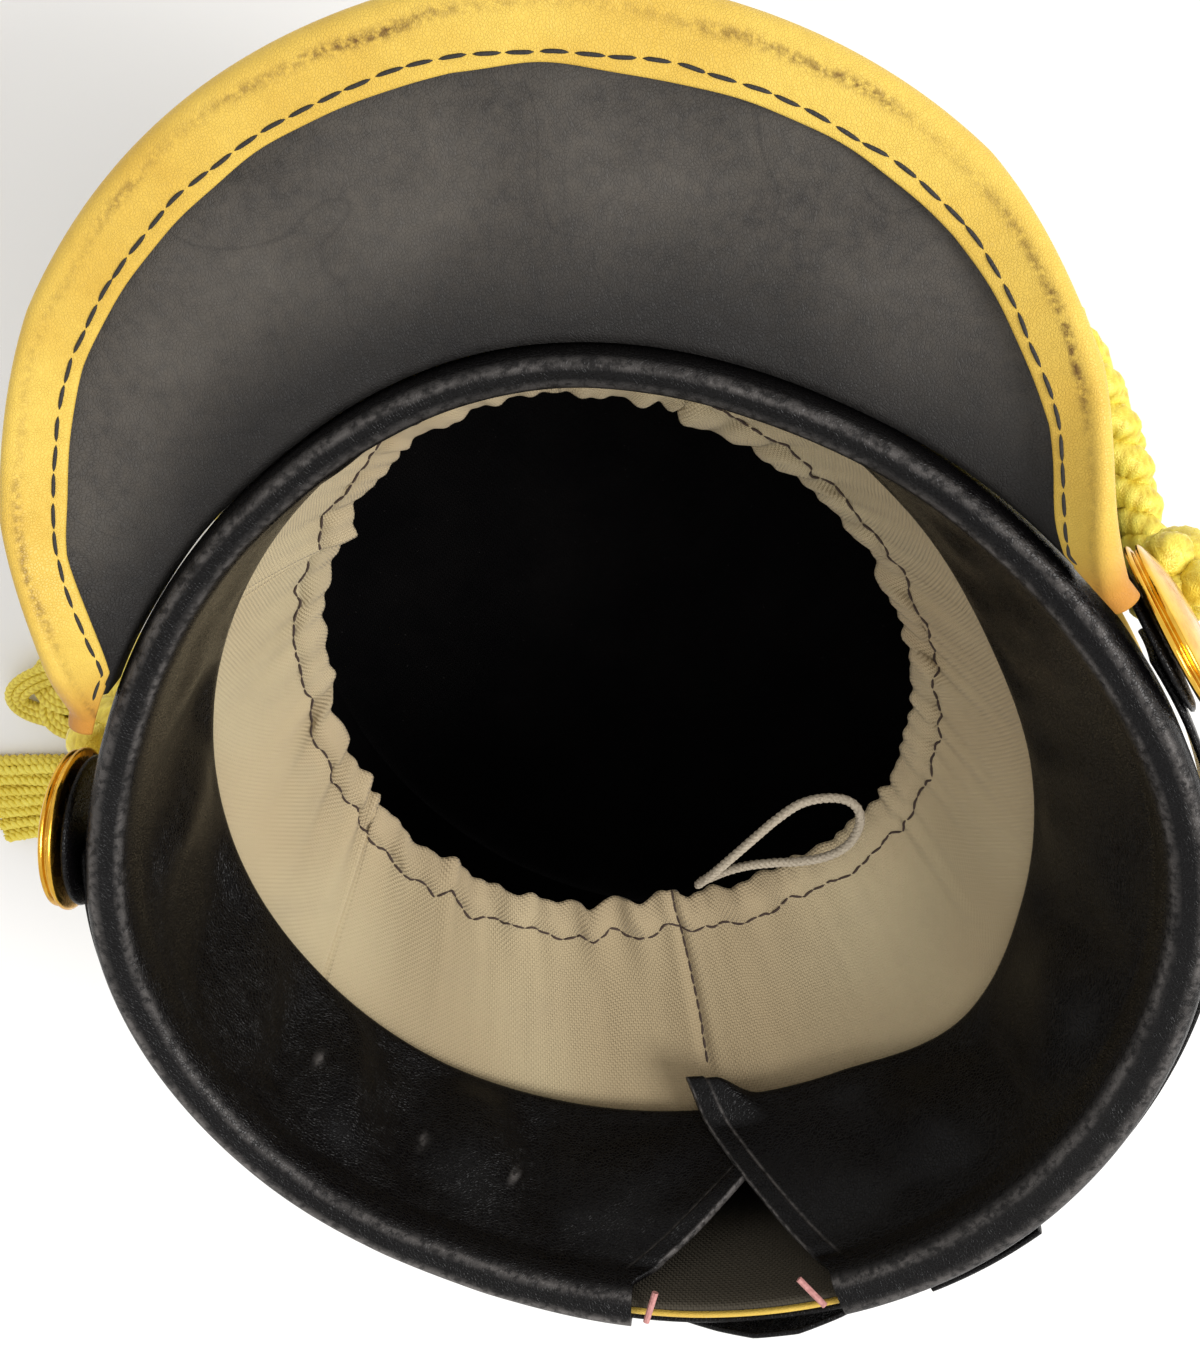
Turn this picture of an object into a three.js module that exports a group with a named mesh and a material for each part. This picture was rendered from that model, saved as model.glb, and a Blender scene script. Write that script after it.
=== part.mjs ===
// A marching-band shako, turned crown down, in millimetres.
// The origin is the middle of the crown's flat outside. +Z points out of the head opening, -Y is the
// front, where the visor is, and +X is the wearer's right.
import * as THREE from "three";

// ---- driving dimensions ----
const HEIGHT = 145; // from the crown's outside to the rim
const CROWN_RADIUS = 91;
const CROWN_THICK = 3;
const SHELL_THICK = 1.8;
const SHELL_INSET = 3.3; // the shell's outside from the rim's outline
const SHELL_DROP = 3; // the shell's edge below the top of the roll
const GAP = 0.4; // clearance between pieces that touch
const BAND_THICK = 1;
const BAND_HEIGHT = 30;
const LEATHER = 1.2; // sweatband
const COTTON = 1; // lining
const SEAM_DROP = 36; // from the rim to the sweatband's sewn edge
const OPENING_DROP = 55; // from the rim to the gathered edge of the lining
const OPENING_CENTRE = { x: 4, y: -22 };
const OVERLAP_LIFT = 2.8; // how far the sweatband's upper end stands off its lower end
const VISOR_THICK = 2;
const VISOR_HALF_ANGLE = 61.6;
const VISOR_CIRCLE = 92; // the visor's reach is measured from this radius
const BINDING_WIDTH = 11;
const BINDING_THICK = 0.9;
const BUTTON_RADIUS = 14;
const BUTTON_DROP = 13; // from the rim to the buttons' centres
const STRAP_THICK = 1.2;
const STRAP_WIDTH = 12;
const STRAP_STAND = 0.2; // from the rim's outline
const STRAP_DROP = 5; // from the rim to the strap's upper edge
const BRAID_RADIUS = 7;
const CORD_RADIUS = 1.6;
const DRAWSTRING_RADIUS = 1;
const FLOUNDER = { x: 148, y: 10, long: 48, wide: 25, thick: 6 };
const TASSEL = { x: 122, y: 37, head: 14, fringe: 58, radius: 6.5 };
const WASHER_STAND = 1.8; // from the rim's outline to the washers' backs
const BUTTON_STAND = 3.9;
const BUTTONS = [
  { side: "right", bearing: -77 },
  { side: "left", bearing: 68 },
];

// Outline of the rim, the outer edge of the sweatband's roll. Bearings run from the front, in
// degrees, positive towards the wearer's left.
const RIM = [
  { bearing: 0, radius: 96.2 },
  { bearing: 30, radius: 92.4 },
  { bearing: 60, radius: 90.4 },
  { bearing: 90, radius: 92.8 },
  { bearing: 120, radius: 93 },
  { bearing: 150, radius: 93.2 },
  { bearing: 180, radius: 91 },
  { bearing: 210, radius: 88.5 },
  { bearing: 240, radius: 91 },
  { bearing: 270, radius: 92.9 },
  { bearing: 300, radius: 90.4 },
  { bearing: 330, radius: 92.4 },
];

// Where the sweatband is sewn to the lining; the soft band leans inwards more in some places.
const SEAM = [
  { bearing: 0, radius: 83.5 },
  { bearing: 22.5, radius: 80.5 },
  { bearing: 45, radius: 73.5 },
  { bearing: 67.5, radius: 68.5 },
  { bearing: 90, radius: 68.5 },
  { bearing: 112.5, radius: 70 },
  { bearing: 135, radius: 73 },
  { bearing: 157.5, radius: 70 },
  { bearing: 180, radius: 68.5 },
  { bearing: 202.5, radius: 69.3 },
  { bearing: 225, radius: 72 },
  { bearing: 247.5, radius: 74.8 },
  { bearing: 270, radius: 78.2 },
  { bearing: 292.5, radius: 80.5 },
  { bearing: 315, radius: 82 },
  { bearing: 337.5, radius: 83 },
];

// The gathered opening of the lining, round OPENING_CENTRE.
const OPENING = [
  { bearing: 0, radius: 52 },
  { bearing: 30, radius: 48.2 },
  { bearing: 60, radius: 49.6 },
  { bearing: 90, radius: 53 },
  { bearing: 120, radius: 56.5 },
  { bearing: 150, radius: 54 },
  { bearing: 180, radius: 52 },
  { bearing: 210, radius: 55.4 },
  { bearing: 240, radius: 56.6 },
  { bearing: 270, radius: 54.2 },
  { bearing: 300, radius: 54.6 },
  { bearing: 330, radius: 54.3 },
];

// The visor: reach beyond VISOR_CIRCLE and rise above the rim, by share of its half angle.
const VISOR = [
  { share: 0, reach: 53.5, rise: 1 },
  { share: 0.25, reach: 49.5, rise: 0 },
  { share: 0.5, reach: 39.5, rise: 0 },
  { share: 0.7, reach: 23.5, rise: 6 },
  { share: 0.85, reach: 7.5, rise: 8 },
  { share: 1, reach: 1.4, rise: -2 },
];

// Middle of the sweatband's wall, from the skirt outside, over the roll, to the start of the fall:
// where the roll is at its fullest and at its slimmest.
const ROLL = [
  { inset: 1, drop: 11, slimInset: 1, slimDrop: 11 },
  { inset: 1, drop: 6, slimInset: 1, slimDrop: 6 },
  { inset: 1.1, drop: 2, slimInset: 1.1, slimDrop: 2.2 },
  { inset: 3, drop: 0, slimInset: 2.1, slimDrop: 0.5 },
  { inset: 5.6, drop: 0.3, slimInset: 3.5, slimDrop: 0.1 },
  { inset: 8, drop: 1.2, slimInset: 4.9, slimDrop: 0.6 },
  { inset: 10.6, drop: 3.4, slimInset: 6, slimDrop: 2.4 },
  { inset: 12.4, drop: 7.5, slimInset: 6.3, slimDrop: 7.5 },
];
const FULLNESS = [
  { bearing: 0, share: 0 },
  { bearing: 45, share: 0.08 },
  { bearing: 90, share: 0.35 },
  { bearing: 135, share: 0.6 },
  { bearing: 180, share: 0.5 },
  { bearing: 225, share: 0.3 },
  { bearing: 270, share: 0.3 },
  { bearing: 315, share: 0.08 },
];

// Routes of the free cords, by hand. The braid hangs from the left button, lies round the foot of
// the crown and goes up to the right button.
const BRAID_ROUTE = [
  { bearing: 69, radius: 100, height: 115 },
  { bearing: 73, radius: 100.6, height: 98 },
  { bearing: 79, radius: 101, height: 78 },
  { bearing: 85, radius: 101.2, height: 58 },
  { bearing: 90, radius: 101.2, height: 38 },
  { bearing: 91, radius: 101, height: 23 },
  { bearing: 86, radius: 100.8, height: 12 },
  { bearing: 77, radius: 100.6, height: 8.6 },
  { bearing: 64, radius: 100.6, height: 7.6 },
  { bearing: 50, radius: 100.6, height: 7.4 },
  { bearing: 35, radius: 100.6, height: 7.4 },
  { bearing: 18, radius: 100.6, height: 7.4 },
  { bearing: 0, radius: 100.6, height: 7.4 },
  { bearing: -18, radius: 100.6, height: 7.4 },
  { bearing: -35, radius: 100.6, height: 7.4 },
  { bearing: -50, radius: 100.6, height: 7.4 },
  { bearing: -62, radius: 100.6, height: 8 },
  { bearing: -71, radius: 100.6, height: 13 },
  { bearing: -75, radius: 101, height: 26 },
  { bearing: -76, radius: 101, height: 44 },
  { bearing: -76, radius: 100.8, height: 68 },
  { bearing: -76, radius: 100.4, height: 92 },
  { bearing: -76, radius: 100, height: 115 },
];
const FLOUNDER_ROUTE = [
  { x: 95.5, y: 12.5, z: 117 },
  { x: 96.2, y: 10, z: 106 },
  { x: 97, y: 7, z: 94 },
  { x: 97.6, y: 5, z: 82 },
  { x: 98, y: 3.5, z: 70 },
  { x: 98.4, y: 2, z: 58 },
  { x: 98.8, y: 1, z: 46 },
  { x: 99.2, y: 0.5, z: 34 },
  { x: 99.8, y: 0.5, z: 22 },
  { x: 101, y: 1, z: 12 },
  { x: 103.5, y: 2, z: 5.5 },
  { x: 107, y: 3.6, z: 2.8 },
  { x: 111, y: 5.4, z: 2 },
  { x: 116.6, y: 7.6, z: 2 },
  { x: 122.8, y: 9.6, z: 2.2 },
];
const TASSEL_ROUTE = [
  { x: 94.5, y: 17.5, z: 117 },
  { x: 95.4, y: 17, z: 106 },
  { x: 96, y: 16.6, z: 94 },
  { x: 96.4, y: 16.4, z: 82 },
  { x: 96.8, y: 16.4, z: 70 },
  { x: 97.2, y: 16.6, z: 58 },
  { x: 97.4, y: 17, z: 46 },
  { x: 97.6, y: 17.6, z: 34 },
  { x: 98, y: 18.6, z: 22 },
  { x: 98.8, y: 20.2, z: 12 },
  { x: 101, y: 22.8, z: 5.5 },
  { x: 104.4, y: 26, z: 2.8 },
  { x: 108.6, y: 29.4, z: 2 },
  { x: 113.6, y: 33.6, z: 2.4 },
  { x: 120.9, y: 37, z: 4.6 },
];
const DRAWSTRING_ROUTE = [
  { x: -4.5, y: 26.6, z: 91.5 },
  { x: -7, y: 24.6, z: 93.6 },
  { x: -10.5, y: 22.6, z: 95 },
  { x: -15, y: 21.2, z: 96 },
  { x: -20, y: 20.8, z: 96.6 },
  { x: -25.5, y: 20.8, z: 97 },
  { x: -30.5, y: 20, z: 97.2 },
  { x: -34.4, y: 17.8, z: 97.4 },
  { x: -36.8, y: 14, z: 97.6 },
  { x: -37, y: 10.4, z: 97.8 },
  { x: -34.9, y: 7.9, z: 98 },
  { x: -31, y: 7, z: 98.2 },
  { x: -26.6, y: 7.6, z: 98.4 },
  { x: -22, y: 10.2, z: 98.6 },
  { x: -17.4, y: 13.6, z: 98.8 },
  { x: -12.8, y: 17.2, z: 98.8 },
  { x: -8.4, y: 21, z: 98 },
  { x: -4.4, y: 25, z: 95.4 },
];

// ---- small maths ----
const radians = THREE.MathUtils.degToRad;
const lerp = THREE.MathUtils.lerp;
const smooth = (x, low, high) => THREE.MathUtils.smoothstep(x, low, high);

// A point at a bearing, a distance from the axis and a height.
function place(bearing, radius, height) {
  const angle = radians(bearing);
  return new THREE.Vector3(-radius * Math.sin(angle), -radius * Math.cos(angle), height);
}

// Smooth value of a column between the rows of a table that goes round the full circle in equal steps.
function around(table, column, bearing) {
  const step = 360 / table.length;
  const at = (((bearing % 360) + 360) % 360) / step;
  const i = Math.floor(at);
  const value = (k) => table[(i + k + table.length) % table.length][column];
  return cubic(value(-1), value(0), value(1), value(2), at - i);
}

function cubic(a, b, c, d, t) {
  const slope0 = (c - a) / 2;
  const slope1 = (d - b) / 2;
  const t2 = t * t;
  const t3 = t2 * t;
  const held = b * (2 * t3 - 3 * t2 + 1) + c * (3 * t2 - 2 * t3);
  return held + slope0 * (t3 - 2 * t2 + t) + slope1 * (t3 - t2);
}

// Smooth value of one column of the visor's table.
function visorValue(share, column) {
  const x = Math.min(Math.abs(share), 1);
  let i = 0;
  while (i < VISOR.length - 2 && x > VISOR[i + 1].share) {
    i += 1;
  }
  const from = VISOR[i];
  const to = VISOR[i + 1];
  const t = (x - from.share) / (to.share - from.share);
  const before = VISOR[Math.max(i - 1, 0)];
  const after = VISOR[Math.min(i + 2, VISOR.length - 1)];
  return cubic(before[column], from[column], to[column], after[column], t);
}

const rim = (bearing) => around(RIM, "radius", bearing);
const seamRadius = (bearing) => around(SEAM, "radius", bearing);


// ---- solids ----
// A solid through closed sections of equal counts: a ring when it closes, capped at both ends if not.
function loft(sections, closes) {
  const count = sections[0].length;
  const positions = sections.flat().flatMap((p) => [p.x, p.y, p.z]);
  const faces = [];
  const spans = closes ? sections.length : sections.length - 1;
  for (let i = 0; i < spans; i += 1) {
    const here = i * count;
    const next = ((i + 1) % sections.length) * count;
    for (let j = 0; j < count; j += 1) {
      const k = (j + 1) % count;
      faces.push(here + j, next + j, next + k, here + j, next + k, here + k);
    }
  }
  if (!closes) {
    cap(sections[0], 0, faces, true);
    cap(sections[sections.length - 1], (sections.length - 1) * count, faces, false);
  }
  const geometry = new THREE.BufferGeometry();
  geometry.setAttribute("position", new THREE.Float32BufferAttribute(positions, 3));
  geometry.setIndex(faces);
  return facedOut(geometry);
}

// Triangulates an end section in its own plane.
function cap(section, start, faces, first) {
  const middle = new THREE.Vector3();
  section.forEach((p) => middle.add(p));
  middle.divideScalar(section.length);
  const normal = new THREE.Vector3();
  section.forEach((p, i) => {
    const q = section[(i + 1) % section.length];
    normal.add(new THREE.Vector3().crossVectors(p.clone().sub(middle), q.clone().sub(middle)));
  });
  normal.normalize();
  const u = section[0].clone().sub(middle);
  u.addScaledVector(normal, -u.dot(normal)).normalize();
  const v = new THREE.Vector3().crossVectors(normal, u);
  const flat = section.map((p) => {
    const d = p.clone().sub(middle);
    return new THREE.Vector2(d.dot(u), d.dot(v));
  });
  THREE.ShapeUtils.triangulateShape(flat, []).forEach(([a, b, c]) => {
    faces.push(start + a, start + (first ? b : c), start + (first ? c : b));
  });
}

// Turns the faces round if the solid's signed volume says that they point in.
function facedOut(geometry) {
  const p = geometry.getAttribute("position");
  const index = geometry.index.array;
  const at = (i) => new THREE.Vector3().fromBufferAttribute(p, i);
  let volume = 0;
  for (let i = 0; i < index.length; i += 3) {
    volume += at(index[i]).dot(at(index[i + 1]).cross(at(index[i + 2])));
  }
  if (volume < 0) {
    for (let i = 0; i < index.length; i += 3) {
      [index[i + 1], index[i + 2]] = [index[i + 2], index[i + 1]];
    }
  }
  return geometry;
}

// The closed outline of a wall of even thickness along a line of (across, up) points.
function wall(line, thick) {
  const half = thick / 2;
  const side = (sign) => line.map((p, i) => {
    const before = line[Math.max(i - 1, 0)];
    const after = line[Math.min(i + 1, line.length - 1)];
    const along = new THREE.Vector2(after.x - before.x, after.y - before.y).normalize();
    return new THREE.Vector2(p.x - sign * half * along.y, p.y + sign * half * along.x);
  });
  return [...side(1), ...side(-1).reverse()];
}

// Equal steps from a start to an end, both included.
const steps = (from, to, count) => Array.from({ length: count + 1 }, (_, i) => lerp(from, to, i / count));
// Equal steps once round the circle.
const circle = (count) => Array.from({ length: count }, (_, i) => (360 * i) / count);

// A round tube along a route of hand-picked points.
function tube(points, radius, sides, stepLength) {
  const curve = new THREE.CatmullRomCurve3(points, false, "centripetal");
  const onCircle = (a) => new THREE.Vector2(Math.cos(radians(a)), Math.sin(radians(a)));
  const section = new THREE.Shape(circle(sides).map((a) => onCircle(a).multiplyScalar(radius)));
  const pieces = Math.min(80, Math.round(curve.getLength() / stepLength));
  return new THREE.ExtrudeGeometry(section, { steps: pieces, extrudePath: curve, bevelEnabled: false });
}

// ---- materials ----
function finish(color, roughness, metalness) {
  return new THREE.MeshStandardMaterial({ color, roughness, metalness });
}
const MATERIALS = {
  blackCloth: finish(0x17171a, 0.8, 0),
  blackVinyl: finish(0x1b1b1e, 0.45, 0),
  charcoal: finish(0x33333a, 0.7, 0),
  goldVinyl: finish(0xd9a53c, 0.5, 0),
  cotton: finish(0xa89c8a, 0.95, 0),
  reed: finish(0xd8b4ac, 0.8, 0),
  goldMetal: finish(0xd8ae3c, 0.25, 1),
  goldCord: finish(0xd8c83a, 0.6, 0.1),
};

const hat = new THREE.Group();
hat.name = "shako";

function add(name, geometry, material) {
  const mesh = new THREE.Mesh(geometry, material.clone());
  mesh.name = name;
  hat.add(mesh);
  return mesh;
}

// ---- the stiff body ----
// The shell's outside: the rim's outline at the top eases into the round crown.
function shellRadius(bearing, height) {
  const share = smooth(height, 0, HEIGHT);
  return lerp(CROWN_RADIUS, rim(bearing) - SHELL_INSET, share);
}

function crownTop() {
  const edge = 1.2;
  const profile = [
    new THREE.Vector2(0, 0),
    new THREE.Vector2(CROWN_RADIUS - edge, 0),
    new THREE.Vector2(CROWN_RADIUS, edge),
    new THREE.Vector2(CROWN_RADIUS, CROWN_THICK),
    new THREE.Vector2(0, CROWN_THICK),
  ];
  const geometry = new THREE.LatheGeometry(profile, 60);
  geometry.rotateX(Math.PI / 2);
  return facedOut(geometry);
}

function shellWall() {
  const heights = steps(CROWN_THICK + GAP, HEIGHT - SHELL_DROP, 3);
  const sections = circle(60).map((bearing) => {
    const outside = heights.map((z) => place(bearing, shellRadius(bearing, z), z));
    const inside = heights.map((z) => place(bearing, shellRadius(bearing, z) - SHELL_THICK, z));
    return [...outside, ...inside.reverse()];
  });
  return loft(sections, true);
}

// Gold vinyl round the outside of the shell's edge.
function baseBand() {
  const top = HEIGHT - SHELL_DROP;
  const heights = steps(top - BAND_HEIGHT, top, 2);
  const sections = circle(60).map((bearing) => {
    const inside = heights.map((z) => place(bearing, shellRadius(bearing, z) + GAP, z));
    const outside = heights.map((z) => place(bearing, shellRadius(bearing, z) + GAP + BAND_THICK, z));
    return [...outside, ...inside.reverse()];
  });
  return loft(sections, true);
}

// ---- the visor ----
const SHARE_STEP = 0.035; // both solids have their sections at the same shares
const PLATE_SHARE = 0.91; // past this share the binding covers all that there is
const TIP_SHARE = 0.98;
const SHORTEST_FOLD = 2; // the binding's width at the tips

const visorShares = (limit) => steps(-limit, limit, Math.round((2 * limit) / SHARE_STEP));

// The line across the visor at one share of its half angle: distance from the axis and height.
function visorLine(share) {
  const bearing = share * VISOR_HALF_ANGLE;
  const from = new THREE.Vector2(rim(bearing) + GAP, HEIGHT - SHELL_DROP - 1);
  const reach = VISOR_CIRCLE + visorValue(share, "reach");
  const to = new THREE.Vector2(reach, HEIGHT + visorValue(share, "rise"));
  const along = to.clone().sub(from);
  const long = Math.max(along.length(), 2);
  along.normalize();
  return { bearing, from, along, up: new THREE.Vector2(-along.y, along.x), long };
}

// How far from the base a face this far off the middle has to start, to stay off the roll.
function clearOfRoll(line, off) {
  return off * Math.max(0, line.along.y / line.along.x) + 0.2;
}

// The point at a distance from the base, and a height off the plate's middle.
function visorPoint(line, distance, off) {
  const p = line.from.clone().addScaledVector(line.along, distance).addScaledVector(line.up, off);
  return place(line.bearing, p.x, p.y);
}

function visorPlate() {
  const half = VISOR_THICK / 2;
  const sections = visorShares(PLATE_SHARE).map((share) => {
    const line = visorLine(share);
    const end = line.long - BINDING_THICK - GAP - half;
    const across = steps(clearOfRoll(line, half), end, 3);
    return [
      ...across.map((d) => visorPoint(line, d, half)),
      ...across.reverse().map((d) => visorPoint(line, d, -half)),
    ];
  });
  return loft(sections, false);
}

// Vinyl folded round the edge: a U whose legs lie on both faces.
function visorBinding() {
  const inner = VISOR_THICK / 2 + 0.5;
  const outer = inner + BINDING_THICK;
  const sections = visorShares(TIP_SHARE).map((share) => {
    const line = visorLine(share);
    const leg = Math.max(clearOfRoll(line, outer), line.long - BINDING_WIDTH);
    const edge = Math.max(line.long, leg + SHORTEST_FOLD);
    const fold = Math.max(edge - BINDING_THICK, leg + GAP);
    const outline = [
      [leg, outer],
      [edge - 1, outer],
      [edge, outer / 2],
      [edge, -outer / 2],
      [edge - 1, -outer],
      [leg, -outer],
      [leg, -inner],
      [fold, -inner],
      [fold, inner],
      [leg, inner],
    ];
    return outline.map(([d, off]) => visorPoint(line, d, off));
  });
  return loft(sections, false);
}

// ---- inside ----
// The two ends of the sweatband lean across each other: each height has its own bearings.
const ROLL_TOP = 5.5; // the part of the roll that doesn't lean
const LEAN_START = 4; // from the rim
const SWEATBAND_ENDS = { right: -170.4, left: 164.1, easeOver: 34, leanRight: -0.86, leanLeft: 0.56 };

function rollLine(bearing) {
  const full = around(FULLNESS, "share", bearing);
  return ROLL.map((row) => {
    const inset = lerp(row.slimInset, row.inset, full);
    return new THREE.Vector2(rim(bearing) - inset, HEIGHT - lerp(row.slimDrop, row.drop, full));
  });
}

function sweatband() {
  const ends = SWEATBAND_ENDS;
  const sections = steps(ends.right, ends.left, 60).map((bearing) => {
    const nearRight = 1 - smooth(bearing - ends.right, 0, ends.easeOver);
    const nearLeft = 1 - smooth(ends.left - bearing, 0, ends.easeOver);
    const lift = OVERLAP_LIFT * smooth(nearLeft, 0, 0.5);
    const leanRate = ends.leanRight * nearRight + ends.leanLeft * nearLeft; // degrees for each mm of drop
    const leanOf = (drop) => Math.max(0, drop - LEAN_START) * leanRate;
    const edge = rim(bearing);
    const roll = rollLine(bearing);
    const start = roll[roll.length - 1];
    const fall = [0.25, 0.5, 0.75, 1].map((share) => {
      const drop = lerp(HEIGHT - start.y, SEAM_DROP, share);
      const seam = seamRadius(bearing + leanOf(drop)) - lift * smooth(share, 0, 0.4);
      return new THREE.Vector2(lerp(start.x, seam, share), HEIGHT - drop);
    });
    return wall([...roll, ...fall], LEATHER).map((p) => {
      const onRoll = p.x > edge - ROLL_TOP;
      return place(bearing + (onRoll ? 0 : leanOf(HEIGHT - p.y)), p.x, p.y);
    });
  });
  return loft(sections, false);
}

// The cut ends of the reed inside the roll, one at each side of the opening at the back.
function reedEnd(from, to) {
  return tube([from, from.clone().lerp(to, 0.5), to], 0.6, 8, 2);
}

// Cotton from behind the sweatband's sewn edge to the gathered opening.
const LINING_OVERLAP = 5; // behind the sweatband's edge
const LINING_SAG = 2;
function lining() {
  const sections = circle(60).map((bearing) => {
    const behind = LEATHER + 3 * GAP; // the cotton's distance behind the sweatband
    const seam = seamRadius(bearing) + behind;
    const rollEnd = rollLine(bearing)[ROLL.length - 1];
    const share = LINING_OVERLAP / (rollEnd.y - HEIGHT + SEAM_DROP);
    const top = place(bearing, lerp(seam, rollEnd.x + behind, share), HEIGHT - SEAM_DROP + LINING_OVERLAP);
    const turn = place(bearing, seam, HEIGHT - SEAM_DROP - LINING_OVERLAP / 2);
    const mouth = place(bearing, around(OPENING, "radius", bearing), HEIGHT - OPENING_DROP);
    mouth.x += OPENING_CENTRE.x;
    mouth.y += OPENING_CENTRE.y;
    const line = [top, turn, turn.clone().lerp(mouth, 0.33), turn.clone().lerp(mouth, 0.67), mouth];
    line[2].z -= LINING_SAG;
    line[3].z -= LINING_SAG;
    return wallInSpace(line, bearing, COTTON);
  });
  return loft(sections, true);
}

// A wall's outline along points in space, thickened in the plane of its bearing.
function wallInSpace(line, bearing, thick) {
  const out = place(bearing, 1, 0);
  const half = thick / 2;
  const side = (sign) => line.map((p, i) => {
    const along = line[Math.min(i + 1, line.length - 1)].clone().sub(line[Math.max(i - 1, 0)]);
    const across = new THREE.Vector2(along.dot(out), along.z).normalize();
    return p.clone().addScaledVector(out, -sign * half * across.y).setZ(p.z + sign * half * across.x);
  });
  return [...side(1), ...side(-1).reverse()];
}

// ---- buttons and strap ----
// Puts a solid that was turned about its own Y axis on the side of the hat, facing outwards.
function mountOnSide(mesh, bearing, stand) {
  const outward = place(bearing, 1, 0);
  mesh.position.copy(place(bearing, rim(bearing) + stand, HEIGHT - BUTTON_DROP));
  mesh.quaternion.setFromUnitVectors(new THREE.Vector3(0, 1, 0), outward);
}

function buttonSolid() {
  const radius = BUTTON_RADIUS;
  const profile = [
    [0, 0],
    [radius - 1.2, 0],
    [radius, 0.5],
    [radius, 1.2],
    [radius - 1, 1.6],
    [radius - 0.4, 2],
    [radius - 1, 2.6],
    [radius * 0.72, 3.9],
    [radius * 0.4, 4.7],
    [0, 5],
  ];
  return facedOut(new THREE.LatheGeometry(profile.map(([r, y]) => new THREE.Vector2(r, y)), 28));
}

function washerSolid() {
  const radius = BUTTON_RADIUS - 1;
  const profile = [
    [0, 0],
    [radius - 1, 0],
    [radius, 0.6],
    [radius - 1, 1.3],
    [0, 1.8],
  ];
  return facedOut(new THREE.LatheGeometry(profile.map(([r, y]) => new THREE.Vector2(r, y)), 24));
}

// The strap lies on the roll's skirt, from one button round the back to the other.
function chinStrap() {
  const [right, left] = BUTTONS;
  const top = HEIGHT - STRAP_DROP;
  const sections = steps(left.bearing, right.bearing + 360, 60).map((bearing) => {
    const inside = rim(bearing) + STRAP_STAND;
    const outside = inside + STRAP_THICK;
    return [
      place(bearing, inside, top - STRAP_WIDTH),
      place(bearing, outside, top - STRAP_WIDTH),
      place(bearing, outside, top),
      place(bearing, inside, top),
    ];
  });
  return loft(sections, false);
}

// A strip across the strap: rows give bearing, stand-off from the strap, and height of its middle.
function strip(rows, width) {
  const sections = rows.map((row) => {
    const inside = rim(row.bearing) + STRAP_STAND + STRAP_THICK + row.stand;
    const outside = inside + STRAP_THICK;
    const half = width / 2;
    return [
      place(row.bearing, inside, row.height - half),
      place(row.bearing, outside, row.height - half),
      place(row.bearing, outside, row.height + half),
      place(row.bearing, inside, row.height + half),
    ];
  });
  return loft(sections, false);
}

const strapMiddle = HEIGHT - STRAP_DROP - STRAP_WIDTH / 2;
const BUCKLE_ROWS = [
  { bearing: 184, stand: 0.5, height: strapMiddle },
  { bearing: 180, stand: 1.6, height: strapMiddle + 1.5 },
  { bearing: 176, stand: 2.2, height: strapMiddle + 3 },
  { bearing: 171, stand: 2.2, height: strapMiddle + 3 },
  { bearing: 166, stand: 1.4, height: strapMiddle + 1.5 },
  { bearing: 162, stand: 0.5, height: strapMiddle },
];
const KEEPER_ROWS = [
  { bearing: 155, stand: 0.5, height: strapMiddle },
  { bearing: 150, stand: 0.5, height: strapMiddle },
  { bearing: 145, stand: 0.5, height: strapMiddle },
  { bearing: 141, stand: 0.5, height: strapMiddle },
];

// ---- gold cords ----
const asPoints = (route) => route.map((p) => new THREE.Vector3(p.x, p.y, p.z));

// A flat knot of cords: an oval with rounded faces, lying on the surface.
function flounder() {
  const rows = [
    { share: 0.8, up: 0.05 },
    { share: 1, up: 0.4 },
    { share: 0.92, up: 0.75 },
    { share: 0.6, up: 1 },
  ];
  const lift = 0.5;
  const sections = rows.map((row) => circle(28).map((a) => {
    const x = FLOUNDER.x + (FLOUNDER.long / 2) * row.share * Math.cos(radians(a));
    const y = FLOUNDER.y + (FLOUNDER.wide / 2) * row.share * Math.sin(radians(a));
    return new THREE.Vector3(x, y, lift + FLOUNDER.thick * row.up);
  }));
  return loft(sections, false);
}

// A solid of rounds along +X, flattened where it lies on the surface.
function lyingRounds(rows, startX) {
  const sections = rows.map((row) => circle(16).map((a) => {
    const y = TASSEL.y + row.wide * Math.cos(radians(a));
    const z = Math.max(0.4, row.high * (1 + Math.sin(radians(a))) + 0.4);
    return new THREE.Vector3(startX + row.along, y, z);
  }));
  return loft(sections, false);
}

const HEAD_ROWS = [
  { along: 0, wide: 2.4, high: 3.4 },
  { along: 3, wide: 6, high: 5.4 },
  { along: 8, wide: TASSEL.radius, high: 5.8 },
  { along: TASSEL.head - 1, wide: 5.4, high: 5 },
  { along: TASSEL.head, wide: 5, high: 4.6 },
];
const FRINGE_ROWS = [
  { along: 0, wide: 5.4, high: 4.4 },
  { along: 12, wide: 8.5, high: 4.2 },
  { along: 30, wide: 11.5, high: 3.2 },
  { along: TASSEL.fringe, wide: 13, high: 2 },
];

// ---- assembly ----
add("crown_top", crownTop(), MATERIALS.blackCloth);
add("shell_wall", shellWall(), MATERIALS.blackCloth);
add("base_band", baseBand(), MATERIALS.goldVinyl);
add("visor", visorPlate(), MATERIALS.charcoal);
add("visor_binding", visorBinding(), MATERIALS.goldVinyl);
add("sweatband", sweatband(), MATERIALS.blackVinyl);
add("lining", lining(), MATERIALS.cotton);

const reedHeight = HEIGHT - 0.6;
const REED_ENDS = [
  { side: "right", from: place(-172.2, 87.4, reedHeight), to: place(-173.4, 82, reedHeight - 2) },
  { side: "left", from: place(166, 87.6, reedHeight), to: place(168, 82, reedHeight - 2) },
];
REED_ENDS.forEach(({ side, from, to }) => add(`reed_end_${side}`, reedEnd(from, to), MATERIALS.reed));

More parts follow.
